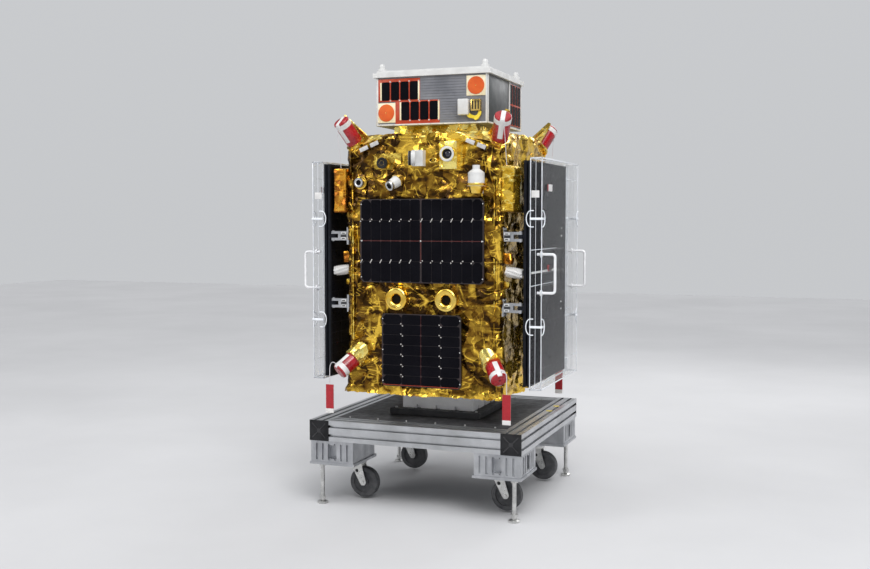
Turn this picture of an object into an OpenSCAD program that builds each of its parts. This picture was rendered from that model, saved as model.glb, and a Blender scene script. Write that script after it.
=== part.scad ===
// Small satellite with a second, smaller satellite docked on its top, on a ground trolley.
// Its solar wings are folded at its sides under clear transport covers.
// Millimetres, +Z up, the front of the satellite faces -Y.
// The origin is on the floor, below the middle of the trolley.

/* [Trolley] */
// Width of the trolley frame
trolley_w = 860; // [780:10:980]
// Depth of the trolley frame
trolley_d = 860; // [800:10:980]
// Height of the rail tops above the floor
rail_top = 335; // [325:5:420]
// Side of the square rail section
rail = 80; // [70:2:90]
// Width of a groove in a rail
groove_w = 10; // [8:1:12]
// Depth of a groove in a rail
groove_deep = 12; // [10:1:12]
// Thickness of the deck plate
deck_t = 8; // [5:1:12]
// Thickness of a rail's end cap
cap_t = 3; // [2:1:6]

/* [Casters and feet] */
// Diameter of a caster wheel
wheel_d = 120; // [100:2:125]
// Width of a caster wheel
wheel_w = 32; // [24:1:36]
// Distance from a swivel to its wheel's axle
trail = 30; // [20:1:36]
// Air below the wheels while the feet carry the trolley
wheel_lift = 8; // [5:1:15]
// Width of a corner bracket
bracket_w = 190; // [170:2:210]
// Depth of a corner bracket
bracket_d = 215; // [190:2:230]
// Distance of a foot from the trolley's outer faces
foot_in = 37; // [30:1:42]
// Diameter of a foot's threaded rod
foot_rod_d = 16; // [12:1:20]
// Diameter of a foot's pad
foot_pad_d = 42; // [34:1:56]

/* [Bus] */
// Width of the satellite's main body
bus_w = 620; // [560:10:660]
// Depth of the satellite's main body
bus_d = 620; // [560:10:660]
// Height of the satellite's main body
bus_h = 1000; // [900:10:1120]
// Thickness of the foil blankets
foil_t = 5; // [3:1:8]
// Height of the separation adapter
adapter_h = 83; // [60:1:110]
// Width and depth of the separation adapter
adapter_w = 300; // [240:5:340]
// Thickness of the plate under the adapter
adapter_plate_t = 22; // [12:1:30]

/* [Front panels] */
// Width of the upper solar panel
panel_w = 506; // [440:2:530]
// Height of the upper solar panel
panel_h = 322; // [260:2:360]
// Width of the lower solar panel
low_panel_w = 326; // [260:2:340]
// Height of the lower solar panel
low_panel_h = 282; // [240:2:300]
// Thickness of both panels
panel_t = 8; // [5:1:12]
// Length of the posts behind them
panel_post = 11; // [6:1:16]

/* [Solar wings] */
// Height of a wing
wing_h = 844; // [700:4:900]
// Depth of a folded wing
wing_d = 552; // [460:4:600]
// Thickness of one wing panel
wing_t = 10; // [8:1:14]
// Air between the folded panels
wing_gap = 6; // [5:1:12]
// Air between the body's side and the inner panel
wing_stand_off = 88; // [80:1:110]
// Depth of the clear transport cover
cover_deep = 46; // [40:1:70]
// Wall of the clear cover
cover_wall = 5; // [3:1:7]
// How far a cover reaches past its panel's edges
cover_margin = 10; // [8:1:16]
// How far the grip of a handle stands out of its cover
handle_out = 50; // [42:1:60]
// Height of a handle
handle_h = 154; // [120:2:180]

/* [Upper satellite] */
// Width of the upper satellite
module_w = 460; // [400:4:500]
// Depth of the upper satellite
module_d = 444; // [380:4:480]
// Height of its box
module_h = 189; // [160:1:230]
// Thickness of its lid
lid_t = 27; // [18:1:34]
// Height of the docking pedestal below it
pedestal_h = 39; // [30:1:60]

/* [Caps] */
// Diameter of a thruster's red cap
thruster_cap_d = 64; // [54:1:70]
// Length of a thruster's red cap
thruster_cap_l = 104; // [80:1:110]

/* [Hidden] */

$fn = 48;
eps = 0.01; // overlap of joined shapes
slip = 0.3; // air between pieces that are seated but not joined
run_fit = 0.05; // radial clearance of a turning pin

// Trolley levels
rail_mid = rail_top - rail / 2;
rail_low = rail_top - rail;
inner_w = trolley_w - 2 * rail;
inner_d = trolley_d - 2 * rail;
cross_y = 110; // middle of each cross rail

// Casters
axle_z = wheel_lift + wheel_d / 2;
wheel_top = wheel_lift + wheel_d;
kingpin_d = 12;
kingpin_head_d = 20;
kingpin_head_h = 7;
head_air = 7; // from the wheel to the kingpin's head
crown_z = wheel_top + head_air + kingpin_head_h + slip;
crown_t = 9;
crown_d = 66;
race_t = 10;
race_z = crown_z + crown_t + slip;
flange_z = race_z + race_t;
flange_t = 10;
axle_d = 10;
leg_t = 5;
leg_air = 4; // between a wheel and a fork leg
caster_x = trolley_w / 2 - 133;
caster_y = trolley_d / 2 - 165;
foot_x = trolley_w / 2 - foot_in;
foot_y = trolley_d / 2 - foot_in;
foot_pad_h = 12;
foot_nut_h = 13;
foot_bore_deep = 50;

// Satellite levels
adapter_z = rail_top + adapter_plate_t;
bus_z = adapter_z + adapter_h;
bus_top = bus_z + bus_h;
skin_x = bus_w / 2 + foil_t; // outer face of the side blankets
skin_y = bus_d / 2 + foil_t; // outer face of the front and rear blankets
skin_top = bus_top + foil_t;

// Thrusters: the upper ones sit on cut corners, the lower ones on wedges
up_base = [bus_w / 2 - 15, bus_d / 2 - 34, bus_top - 30];
up_axis = [0.30, 0.58, 0.757];
low_end = [skin_x + 14, skin_y + 58, bus_z + 80]; // middle of a lower cap's outer end
low_axis = [0.51, 0.61, -0.605];
flange_d = 78;
collar_at = 78; // from a lower cap's outer end back to the outside of its collar
collar_w = 9;
cap_seat = 14; // from a thruster's base to its cap

// Wings, given for the right side
wing_z = bus_z + 473; // middle height of a wing
wing_y = -27; // middle of a wing, front to rear
wing_front = wing_y - wing_d / 2;
wing_rear = wing_y + wing_d / 2;
in_x = bus_w / 2 + wing_stand_off; // inner face of the inner panel
out_x = in_x + wing_t + wing_gap; // inner face of the outer panel
root_x = in_x - 13;
root_y = wing_front + 3;
root_pin_d = 10;
root_knuckle_r = 9;
root_levels = [wing_z + 139, wing_z - 127];
fold_x = in_x + wing_t + wing_gap / 2;
fold_y = wing_rear + 8;
fold_pin_d = 6;
fold_knuckle_r = 6;
fold_levels = [wing_z + 300, wing_z, wing_z - 300];
knuckle_h = 16;
cover_x = out_x + wing_t + slip;
cover_out_x = cover_x + cover_deep;
cover_d = wing_d + 2 * cover_margin;
cover_h = wing_h + 2 * cover_margin;
rim_t = 3;
rim_w = 15;
handle_bar_d = 10;
handle_ys = [wing_front + 13, wing_rear - 56];
handle_z = wing_z + 2.5;
handle_in = 18; // how far a handle's studs reach into the cover
hold_down_d = 26;

// Upper satellite levels
module_z = skin_top + pedestal_h;
module_top = module_z + module_h;
lid_top = module_top + lid_t;
module_front = -module_d / 2;

// Flank boxes
flank_z = [bus_top - 299, bus_top - 123];
flank_out = root_x - 13;
flank_front = skin_y + 15;
flank_d = 130;

// Lanyards. The points run from a cap to its tag, for the front right corner.
lanyard_d = 3;
lanyard_path = [[337, -383, 551], [339, -385, 555], [342, -387, 558], [346, -389, 560], [351, -390, 559],
    [355, -390, 555], [358, -390, 549], [360, -390, 541], [361, -390, 532], [361, -390, 520],
    [361, -390, 508], [361, -390, 496], [361, -390, 484], [361, -390, 472]];
tag_w = 32;
tag_t = 4;
tag_l = 112;
tag_top = lanyard_path[len(lanyard_path) - 1] - [0, 0, slip];
string_d = 3;

// ---------------------------------------------------------------- helpers

module flip_x(flip) {
    if (flip) mirror([1, 0, 0]) children();
    else children();
}

module flip_y(flip) {
    if (flip) mirror([0, 1, 0]) children();
    else children();
}

// The child is drawn for the rear right corner (+X, +Y)
module each_corner() {
    for (left = [false, true]) {
        for (front = [false, true]) flip_x(left) flip_y(front) children();
    }
}

// Turns +Z onto a direction
module along(direction) {
    rotate([0, acos(direction.z / norm(direction)), atan2(direction.y, direction.x)]) children();
}

module box(low, high) {
    translate(low) cube(high - low);
}

module ring(outer_r, inner_r, height) {
    difference() {
        cylinder(r = outer_r, h = height);
        translate([0, 0, -1]) cylinder(r = inner_r, h = height + 2);
    }
}

// ---------------------------------------------------------------- trolley

// One groove with its wider inside, cut into the top face of a section
module groove() {
    lip = 5;
    wide = groove_w + 4;
    translate([-groove_w / 2, rail / 2 - groove_deep]) square([groove_w, groove_deep + 1]);
    translate([-wide / 2, rail / 2 - groove_deep]) square([wide, groove_deep - lip]);
}

module rail_section() {
    core_d = 7;
    core_at = rail * 0.1;
    groove_at = rail * 0.22;
    difference() {
        square(rail, center = true);
        for (side = [0 : 3]) {
            rotate(90 * side) {
                for (at = [-groove_at, groove_at]) translate([at, 0]) groove();
            }
        }
        for (x = [-core_at, core_at]) {
            for (y = [-core_at, core_at]) translate([x, y]) circle(d = core_d);
        }
    }
}

module extrusion(length) {
    translate([0, 0, -length / 2]) linear_extrude(length) rail_section();
}

module side_rails() {
    color("silver") {
        for (side = [-1, 1]) {
            translate([side * (trolley_w - rail) / 2, 0, rail_mid]) rotate([90, 0, 0])
                extrusion(trolley_d - 2 * cap_t);
        }
    }
}

module end_rails() {
    color("silver") {
        for (side = [-1, 1]) {
            translate([0, side * (trolley_d - 2 * cap_t - rail) / 2, rail_mid]) rotate([0, 90, 0])
                extrusion(inner_w);
        }
    }
}

module rail_end_caps() {
    mark_w = 7;
    mark_deep = 1;
    color("#202022") each_corner() {
        translate([(trolley_w - rail) / 2, trolley_d / 2 - cap_t, rail_mid]) rotate([-90, 0, 0]) {
            difference() {
                translate([-rail / 2, -rail / 2, 0]) cube([rail, rail, cap_t]);
                for (turn = [45, 135]) {
                    translate([0, 0, cap_t - mark_deep]) rotate(turn)
                        translate([-rail * 0.4, -mark_w / 2, 0]) cube([rail * 0.8, mark_w, 2 * mark_deep]);
                }
            }
        }
    }
}

module deck_plate() {
    half_w = inner_w / 2 - slip;
    half_d = (trolley_d - 2 * cap_t) / 2 - rail - slip;
    color("#1c1c20") box([-half_w, -half_d, rail_top - deck_t], [half_w, half_d, rail_top]);
}

module cross_rails() {
    color("silver") {
        for (side = [-1, 1]) {
            translate([0, side * cross_y, rail_mid - deck_t]) rotate([0, 90, 0]) extrusion(inner_w);
        }
    }
}

// One corner bracket with its caster's race and kingpin
module caster_bracket() {
    body_z = flange_z + flange_t;
    rib_pitch = 26;
    rib_cut = 9;
    rib_deep = 8;
    rib_low = body_z + 8;
    rib_high = rail_low - 10;
    window_w = 38;
    out_x = trolley_w / 2;
    out_y = trolley_d / 2;
    mid_x = out_x - bracket_w / 2;
    mid_y = out_y - bracket_d / 2;
    difference() {
        union() {
            box([out_x - bracket_w, out_y - bracket_d, flange_z], [out_x, out_y, body_z]);
            box([out_x - bracket_w + 6, out_y - bracket_d + 6, body_z - eps], [out_x - 4, out_y - 4, rail_low]);
        }
        for (at = [-2.5 : 1 : 2.5]) {
            box([mid_x + at * rib_pitch - rib_cut / 2, out_y - 4 - rib_deep, rib_low],
                [mid_x + at * rib_pitch + rib_cut / 2, out_y + 1, rib_high]);
            box([out_x - 4 - rib_deep, mid_y + at * rib_pitch - rib_cut / 2, rib_low],
                [out_x + 1, mid_y + at * rib_pitch + rib_cut / 2, rib_high]);
        }
        box([mid_x - window_w / 2, out_y - 34, rib_low + 6], [mid_x + window_w / 2, out_y + 1, rib_high - 6]);
        box([out_x - 34, mid_y - window_w / 2, rib_low + 6], [out_x + 1, mid_y + window_w / 2, rib_high - 6]);
        translate([foot_x, foot_y, flange_z - 1]) cylinder(d = foot_rod_d + 2 * slip, h = foot_bore_deep + 1);
    }
    translate([caster_x, caster_y, race_z]) cylinder(d = crown_d, h = race_t + eps);
    translate([caster_x, caster_y, crown_z - slip - eps]) cylinder(d = kingpin_d, h = race_z - crown_z + 1);
    translate([caster_x, caster_y, crown_z - slip - kingpin_head_h])
        cylinder(d = kingpin_head_d, h = kingpin_head_h);
}

module caster_brackets() {
    color("#9aa0a6") each_corner() caster_bracket();
}

module levelling_foot() {
    nut_across = foot_rod_d * 1.5;
    translate([0, 0, 0]) cylinder(d = foot_pad_d, h = foot_pad_h - 4);
    translate([0, 0, foot_pad_h - 4 - eps]) cylinder(d1 = foot_pad_d, d2 = foot_rod_d + 8, h = 4 + eps);
    cylinder(d = foot_rod_d, h = flange_z + foot_bore_deep - 5);
    translate([0, 0, flange_z - foot_nut_h]) cylinder(d = nut_across / cos(30), h = foot_nut_h, $fn = 6);
    translate([0, 0, foot_pad_h + 6]) cylinder(d = nut_across / cos(30), h = foot_nut_h, $fn = 6);
}

module levelling_feet() {
    color("#c8c8c8") each_corner() translate([foot_x, foot_y, 0]) levelling_foot();
}

// Every fork trails towards +X
module caster_fork(side, end) {
    leg_y = wheel_w / 2 + leg_air;
    color("#b8bcc0") translate([side * caster_x, end * caster_y, 0]) {
        translate([0, 0, crown_z]) ring(crown_d / 2, kingpin_d / 2 + run_fit, crown_t);
        for (y = [-leg_y - leg_t, leg_y]) {
            translate([0, y + leg_t, 0]) rotate([90, 0, 0]) linear_extrude(leg_t) {
                difference() {
                    union() {
                        polygon([[-24, crown_z + 1], [22, crown_z + 1], [trail + 13, axle_z + 4],
                            [trail + 13, axle_z - 3], [trail + 6, axle_z - 12], [trail - 6, axle_z - 12],
                            [trail - 13, axle_z - 3]]);
                    }
                    translate([4, crown_z - 28]) circle(d = 14);
                }
            }
        }
        translate([trail, leg_y + leg_t + 5, axle_z]) rotate([90, 0, 0])
            cylinder(d = axle_d, h = 2 * (leg_y + leg_t + 5));
    }
}

module caster_wheel(side, end) {
    tread_round = 6;
    hub_r = wheel_d / 2 - 18;
    recess = 5;
    color("#5c5f63") translate([side * caster_x + trail, end * caster_y, axle_z]) rotate([90, 0, 0]) {
        rotate_extrude($fn = 96) {
            difference() {
                union() {
                    translate([axle_d / 2 + run_fit, -wheel_w / 2]) square([14, wheel_w]);
                    translate([axle_d / 2, -wheel_w / 2 + recess]) square([hub_r, wheel_w - 2 * recess]);
                    translate([hub_r, -wheel_w / 2]) square([wheel_d / 2 - hub_r - tread_round, wheel_w]);
                    translate([hub_r, -wheel_w / 2 + tread_round])
                        square([wheel_d / 2 - hub_r, wheel_w - 2 * tread_round]);
                    for (y = [-1, 1]) {
                        translate([wheel_d / 2 - tread_round, y * (wheel_w / 2 - tread_round)])
                            circle(r = tread_round);
                    }
                }
                translate([-1, -wheel_w]) square([1 + axle_d / 2 + run_fit, 2 * wheel_w]);
            }
        }
    }
}

module front_left_caster_fork() { caster_fork(-1, -1); }
module front_right_caster_fork() { caster_fork(1, -1); }
module rear_left_caster_fork() { caster_fork(-1, 1); }
module rear_right_caster_fork() { caster_fork(1, 1); }
module front_left_caster_wheel() { caster_wheel(-1, -1); }
module front_right_caster_wheel() { caster_wheel(1, -1); }
module rear_left_caster_wheel() { caster_wheel(-1, 1); }
module rear_right_caster_wheel() { caster_wheel(1, 1); }

// ---------------------------------------------------------------- main body

module adapter_base_plate() {
    half = adapter_w / 2 + 40;
    bolt_d = 14;
    color("#3a3c40") {
        difference() {
            box([-half, -half, rail_top], [half, half, adapter_z]);
            for (x = [-1, 1]) {
                for (y = [-1, 1]) {
                    translate([x * (half - 18), y * (half - 18), rail_top - 1]) cylinder(d = bolt_d, h = adapter_plate_t + 2);
                }
            }
        }
    }
}

// A frame with dark notches along the bottom edges of its sides
module separation_adapter() {
    half = adapter_w / 2;
    notch_w = 18;
    notch_h = 15;
    notch_deep = 12;
    notch_pitch = adapter_w * 0.27;
    step = 4;
    step_z = bus_z - 28;
    color("#d8d8dc") {
        difference() {
            union() {
                box([-half, -half, adapter_z], [half, half, step_z]);
                box([-half + step, -half + step, step_z - eps], [half - step, half - step, bus_z]);
            }
            for (turn = [0, 90, 180, 270]) {
                rotate(turn) {
                    for (at = [-1, 0, 1]) {
                        box([at * notch_pitch - notch_w / 2, -half - 1, adapter_z - 1],
                            [at * notch_pitch + notch_w / 2, -half + notch_deep, adapter_z + notch_h]);
                    }
                }
            }
        }
    }
}

// Everything outside the cut top corners
module corner_cuts() {
    reach = 400;
    each_corner() {
        translate(up_base) along(up_axis) translate([-reach, -reach, 0]) cube([2 * reach, 2 * reach, reach]);
    }
}

module bus_structure() {
    color("#8a8d90") {
        difference() {
            box([-bus_w / 2, -bus_d / 2, bus_z], [bus_w / 2, bus_d / 2, bus_top]);
            corner_cuts();
        }
    }
}

module front_blanket() {
    color("goldenrod") {
        difference() {
            box([-skin_x, -skin_y, bus_z], [skin_x, -bus_d / 2, skin_top]);
            corner_cuts();
        }
    }
}

module rear_blanket() {
    color("goldenrod") {
        difference() {
            box([-skin_x, bus_d / 2, bus_z], [skin_x, skin_y, skin_top]);
            corner_cuts();
        }
    }
}

module side_blanket(side) {
    color("goldenrod") flip_x(side < 0) {
        difference() {
            box([bus_w / 2, -bus_d / 2, bus_z], [skin_x, bus_d / 2, skin_top]);
            corner_cuts();
        }
    }
}

module left_blanket() { side_blanket(-1); }
module right_blanket() { side_blanket(1); }

module top_blanket() {
    color("goldenrod") {
        difference() {
            box([-bus_w / 2, -bus_d / 2, bus_top], [bus_w / 2, bus_d / 2, skin_top]);
            corner_cuts();
        }
    }
}

// A plate with cropped corners, standing on posts off the front blanket
module front_panel(width, height, crop) {
    post_d = 12;
    x = width / 2;
    z = height / 2;
    translate([0, -skin_y - panel_post, 0]) rotate([90, 0, 0]) linear_extrude(panel_t) {
        polygon([[-x + crop, -z], [x - crop, -z], [x, -z + crop], [x, z - crop],
            [x - crop, z], [-x + crop, z], [-x, z - crop], [-x, -z + crop]]);
    }
    for (px = [-x + 26, 0, x - 26]) {
        for (pz = [-z + 26, z - 26]) {
            translate([px, -skin_y, pz]) rotate([90, 0, 0]) cylinder(d = post_d, h = panel_post + 1);
        }
    }
}

panel_z = bus_z + 594; // middle of the upper panel
low_panel_z = bus_z + 172; // middle of the lower panel

module upper_front_solar_panel() {
    color("#23253a") translate([0, 0, panel_z]) front_panel(panel_w, panel_h, 12);
}

module lower_front_solar_panel() {
    color("#23253a") translate([0, 0, low_panel_z]) front_panel(low_panel_w, low_panel_h, 10);
}

// Two trumpet-shaped rings between the panels
module aperture_ring() {
    mouth_r = 45;
    throat_r = 17;
    lip_r = 14;
    rotate([90, 0, 0]) {
        rotate_extrude($fn = 96) {
            difference() {
                union() {
                    translate([throat_r, 0]) square([mouth_r - throat_r - 6, lip_r]);
                    translate([throat_r + lip_r, lip_r]) circle(r = lip_r);
                    translate([throat_r + lip_r, 0]) square([mouth_r - throat_r - lip_r, 8]);
                }
                translate([0, -2 * lip_r]) square([mouth_r + 1, 2 * lip_r]);
            }
        }
        cylinder(r = throat_r + 1, h = 2);
    }
}

module aperture_rings() {
    spacing = 102;
    color("gold") {
        for (side = [-1, 1]) translate([side * spacing, -skin_y, bus_z + 370]) aperture_ring();
    }
}

// Ringed camera on a foil-covered block
module tracker_camera() {
    color("gold") {
        difference() {
            translate([113, 0, bus_top - 80]) {
                box([-36, -skin_y - 24, -54], [34, -skin_y, 50]);
                translate([0, -skin_y - 24 + eps, 2]) rotate([90, 0, 0]) cylinder(d = 56, h = 14);
            }
            translate([113, -skin_y - 23, bus_top - 78]) rotate([90, 0, 0]) cylinder(d = 38, h = 20);
        }
    }
}

// Round connector on a flat plate
module service_port() {
    color("#8b6a1c") {
        box([-198, -skin_y - 6, bus_top - 132], [-86, -skin_y, bus_top - 70]);
        translate([-158, -skin_y - 6 + eps, bus_top - 107]) rotate([90, 0, 0]) {
            cylinder(d = 42, h = 10);
            cylinder(d = 28, h = 20);
        }
    }
}

// Horizon sensor looking left, and two small nozzles
module front_sensors() {
    color("white") {
        difference() {
            union() {
                translate([-8, -skin_y, bus_top - 91]) box([-22, -34, -30], [22, 0, 30]);
                translate([-18, -skin_y - 30, bus_top - 91]) rotate([0, -90, 20]) cylinder(d = 54, h = 26);
            }
            translate([-18, -skin_y - 30, bus_top - 91]) rotate([0, -90, 20]) translate([0, 0, 8])
                cylinder(d = 34, h = 20);
        }
        difference() {
            translate([-102, -skin_y, bus_top - 174]) rotate([116, 0, -24]) translate([0, 0, -20]) difference() {
                cylinder(d1 = 54, d2 = 34, h = 72);
                translate([0, 0, 60]) cylinder(d = 24, h = 13);
            }
            box([-skin_x, -skin_y, bus_z], [skin_x, 0, bus_top]);
        }
        translate([-257, -skin_y, bus_top - 181]) rotate([90, 0, 0]) difference() {
            cylinder(d = 36, h = 26);
            translate([0, 0, 12]) cylinder(d = 22, h = 16);
        }
    }
}

// White stepped antenna over a foil cup
module stub_antenna() {
    out = 38;
    color("white") translate([229, -skin_y - out, bus_top - 200]) {
        cylinder(d = 70, h = 10);
        translate([0, 0, 10 - eps]) cylinder(d = 62, h = 40);
        translate([0, 0, 50 - 2 * eps]) cylinder(d1 = 62, d2 = 32, h = 12);
        translate([0, 0, 62 - 3 * eps]) cylinder(d = 28, h = 16);
    }
    color("gold") {
        box([229 - 18, -skin_y - out, bus_top - 226], [229 + 18, -skin_y, bus_top - 214]);
        translate([229, -skin_y - out, bus_top - 226]) cylinder(d1 = 44, d2 = 62, h = 26 + eps);
    }
}

// Flange and throat on a cut corner, with the foil-covered plate behind it
module upper_thruster_bracket() {
    plate_t = 4;
    translate(up_base) along(up_axis) {
        translate([0, 0, 0]) cylinder(d = flange_d, h = 8);
        cylinder(d = thruster_cap_d - 14, h = cap_seat);
        box([-flange_d / 2 - plate_t, -flange_d / 2, 0], [0, flange_d / 2, plate_t]);
        translate([-flange_d / 2 - plate_t, -flange_d / 2, 0]) {
            rotate([90, 0, 90]) linear_extrude(plate_t)
                polygon([[0, 0], [flange_d, 0], [flange_d, 12], [24, 116], [8, 110], [0, 60]]);
        }
    }
}

module upper_thruster_brackets() {
    color("goldenrod") each_corner() upper_thruster_bracket();
}

// Foil collars round the lower caps, ending on the blankets' outer faces
module lower_thruster_brackets() {
    color("goldenrod") each_corner() {
        difference() {
            translate(low_end) along(low_axis) translate([0, 0, -collar_at - 70])
                ring(thruster_cap_d / 2 + collar_w, thruster_cap_d / 2 + slip, 70);
            box([-skin_x, -skin_y, 0], [skin_x, skin_y, bus_top]);
        }
    }
}

// A closed cup with a rounded end and a small dimple
module thruster_cap(length) {
    round_r = 6;
    dimple_r = 4;
    translate([0, 0, -length]) {
        rotate_extrude($fn = 72) {
            difference() {
                union() {
                    square([thruster_cap_d / 2, length - round_r]);
                    square([thruster_cap_d / 2 - round_r, length]);
                    translate([thruster_cap_d / 2 - round_r, length - round_r]) circle(r = round_r);
                }
                translate([-thruster_cap_d, 0]) square([thruster_cap_d, length + 1]);
                translate([0, length - 2]) square([dimple_r, 3]);
            }
        }
    }
}

module upper_thruster_caps() {
    color("firebrick") each_corner() translate(up_base) along(up_axis)
        translate([0, 0, cap_seat + thruster_cap_l]) thruster_cap(thruster_cap_l);
}

// The lower caps end on the blankets' outer faces
module lower_thruster_caps() {
    color("firebrick") each_corner() {
        difference() {
            translate(low_end) along(low_axis) thruster_cap(thruster_cap_l + 30);
            box([-skin_x, -skin_y, 0], [skin_x, skin_y, bus_top]);
        }
    }
}

// Foil-covered boxes between the body and the wings
module flank_boxes() {
    color("orange") each_corner() box([skin_x, flank_front - flank_d, flank_z[0]], [flank_out, flank_front, flank_z[1]]);
}

// Taped cable bundles that reach from the body towards the wings
module harness_wraps() {
    color("white") {
        for (left = [false, true]) {
            flip_x(left) translate([skin_x, wing_front + 24, wing_z + 4]) rotate([0, 90, 0])
                cylinder(d = 34, h = in_x - skin_x - 8);
        }
    }
}

// Arms on the side faces that carry the wings' vertical root pins
module root_arm() {
    arm_t = 10;
    length = root_x - skin_x;
    for (level = [0, 1]) {
        translate([0, 0, level * (knuckle_h + arm_t) - (knuckle_h / 2 + arm_t)]) {
            translate([-length, -root_knuckle_r, 0]) cube([length, 2 * root_knuckle_r, arm_t]);
            cylinder(r = root_knuckle_r, h = arm_t);
        }
    }
    translate([-length, -root_knuckle_r, -knuckle_h / 2 - arm_t])
        cube([length - 24, 2 * root_knuckle_r, knuckle_h + 2 * arm_t]);
    translate([-length, -root_knuckle_r, -34]) cube([8, 36, 68]);
    translate([0, 0, -knuckle_h / 2 - arm_t - 3]) cylinder(d = root_pin_d, h = knuckle_h + 2 * arm_t + 6);
}

module wing_root_brackets() {
    color("silver") {
        for (left = [false, true]) {
            flip_x(left) {
                for (z = root_levels) translate([root_x, root_y, z]) root_arm();
            }
        }
    }
}

// ---------------------------------------------------------------- upper satellite

module docking_pedestal() {
    half_w = module_w * 0.37;
    half_d = module_d * 0.42;
    color("gold") {
        difference() {
            box([-half_w, -half_d, skin_top], [half_w, half_d, module_z]);
            for (at = [-0.6, 0, 0.6]) {
                translate([at * half_w, -half_d - 1, skin_top + pedestal_h / 2]) rotate([-90, 0, 0])
                    cylinder(d = 16, h = 12);
            }
        }
    }
}

module upper_module_body() {
    color("#3c3e44") box([-module_w / 2, module_front, module_z], [module_w / 2, -module_front, module_top]);
}

module upper_module_lid() {
    over = 12;
    post_in = 16;
    color("white") {
        box([-module_w / 2 - over, module_front - over, module_top],
            [module_w / 2 + over, -module_front + over, module_top + lid_t - 9]);
        box([-module_w / 2, module_front, module_top + lid_t - 9 - eps], [module_w / 2, -module_front, lid_top]);
        each_corner() translate([module_w / 2 - post_in, module_d / 2 - post_in, lid_top - eps]) {
            cylinder(d = 34, h = 8);
            cylinder(d = 22, h = 18);
            translate([0, 0, 18]) sphere(d = 22);
        }
    }
}

cell_w = 40;
cell_h = 76;
cell_plate_t = 2;

// A strip of cells on the front face, from its lower left corner
module cell_strip(x, z, count) {
    border = 2;
    box([x - border, module_front - cell_plate_t, z - border],
        [x + count * cell_w + border, module_front, z + cell_h + border]);
}

// The front and rear faces carry two strips each, and the side faces one each
module upper_module_cells() {
    color("#141418") {
        for (rear = [false, true]) {
            rotate(rear ? 180 : 0) {
                cell_strip(-module_w / 2 + 19, module_z + 97, 4);
                cell_strip(-module_w / 2 + 102, module_z + 18, 4);
            }
        }
        for (left = [false, true]) {
            flip_x(left) box([module_w / 2, 60, module_z + 14],
                [module_w / 2 + cell_plate_t, module_d / 2 - 8, module_top - 8]);
        }
    }
}

module round_patch(x, z, square_side) {
    patch_r = 34;
    translate([x, module_front, z]) {
        box([-square_side / 2, -3, -square_side / 2], [square_side / 2, 0, square_side / 2]);
        translate([0, -3 + eps, 0]) rotate([90, 0, 0]) cylinder(r = patch_r, h = 4);
    }
}

// Patch antennas, a white unit and a gold latch on the front face, and edge strips
module upper_module_fittings() {
    color("orange") {
        round_patch(module_w / 2 - 46, module_z + 144, 76);
        round_patch(-module_w / 2 + 42, module_z + 51, 76);
        box([module_w / 2 - 113, module_front - 26, module_z + 32], [module_w / 2 - 71, module_front, module_z + 92]);
        box([module_w / 2 - 66, module_front - 18, module_z + 42], [module_w / 2 - 24, module_front, module_z + 94]);
    }
}

// ---------------------------------------------------------------- wings

module panel_plate(x) {
    box([x, wing_front, wing_z - wing_h / 2], [x + wing_t, wing_rear, wing_z + wing_h / 2]);
}

// Eyes on the outer panel at each fold hinge stand above and below the inner panel's
eye_h = 14;

module fold_eye(reach_x, z, height) {
    translate([fold_x, fold_y, z - height / 2]) difference() {
        union() {
            cylinder(r = fold_knuckle_r, h = height);
            box([min(0, reach_x - fold_x), -8, 0], [max(0, reach_x - fold_x), 0, height]);
        }
    }
}

module inner_panel() {
    difference() {
        union() {
            panel_plate(in_x);
            for (z = root_levels) {
                translate([root_x, root_y, z - knuckle_h / 2 + slip]) {
                    cylinder(r = root_knuckle_r, h = knuckle_h - 2 * slip);
                    box([0, -3, 0], [in_x - root_x + 1, 12, knuckle_h - 2 * slip]);
                }
            }
            for (z = fold_levels) fold_eye(in_x + 2, z, eye_h);
        }
        for (z = root_levels) {
            translate([root_x, root_y, z - knuckle_h]) cylinder(d = root_pin_d + 2 * run_fit, h = 2 * knuckle_h);
        }
        for (z = fold_levels) {
            translate([fold_x, fold_y, z - eye_h]) cylinder(d = fold_pin_d + 2 * run_fit, h = 2 * eye_h);
        }
    }
}

// The outer panel carries the fold pins and the hold-down stud at its middle
module outer_panel() {
    pin_l = 3 * eye_h + 2 * slip;
    panel_plate(out_x);
    for (z = fold_levels) {
        for (side = [-1, 1]) {
            fold_eye(out_x + wing_t - 2, z + side * (eye_h + slip), eye_h);
        }
        translate([fold_x, fold_y, z - pin_l / 2]) cylinder(d = fold_pin_d, h = pin_l);
    }
    translate([out_x + wing_t - eps, wing_y - 27, wing_z + 13]) rotate([0, 90, 0]) cylinder(d = hold_down_d, h = 14);
}

module right_wing_inner_panel() { color("#4a4238") inner_panel(); }
module left_wing_inner_panel() { color("#4a4238") mirror([1, 0, 0]) inner_panel(); }
module right_wing_outer_panel() { color("#4a4238") outer_panel(); }
module left_wing_outer_panel() { color("#4a4238") mirror([1, 0, 0]) outer_panel(); }

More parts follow.
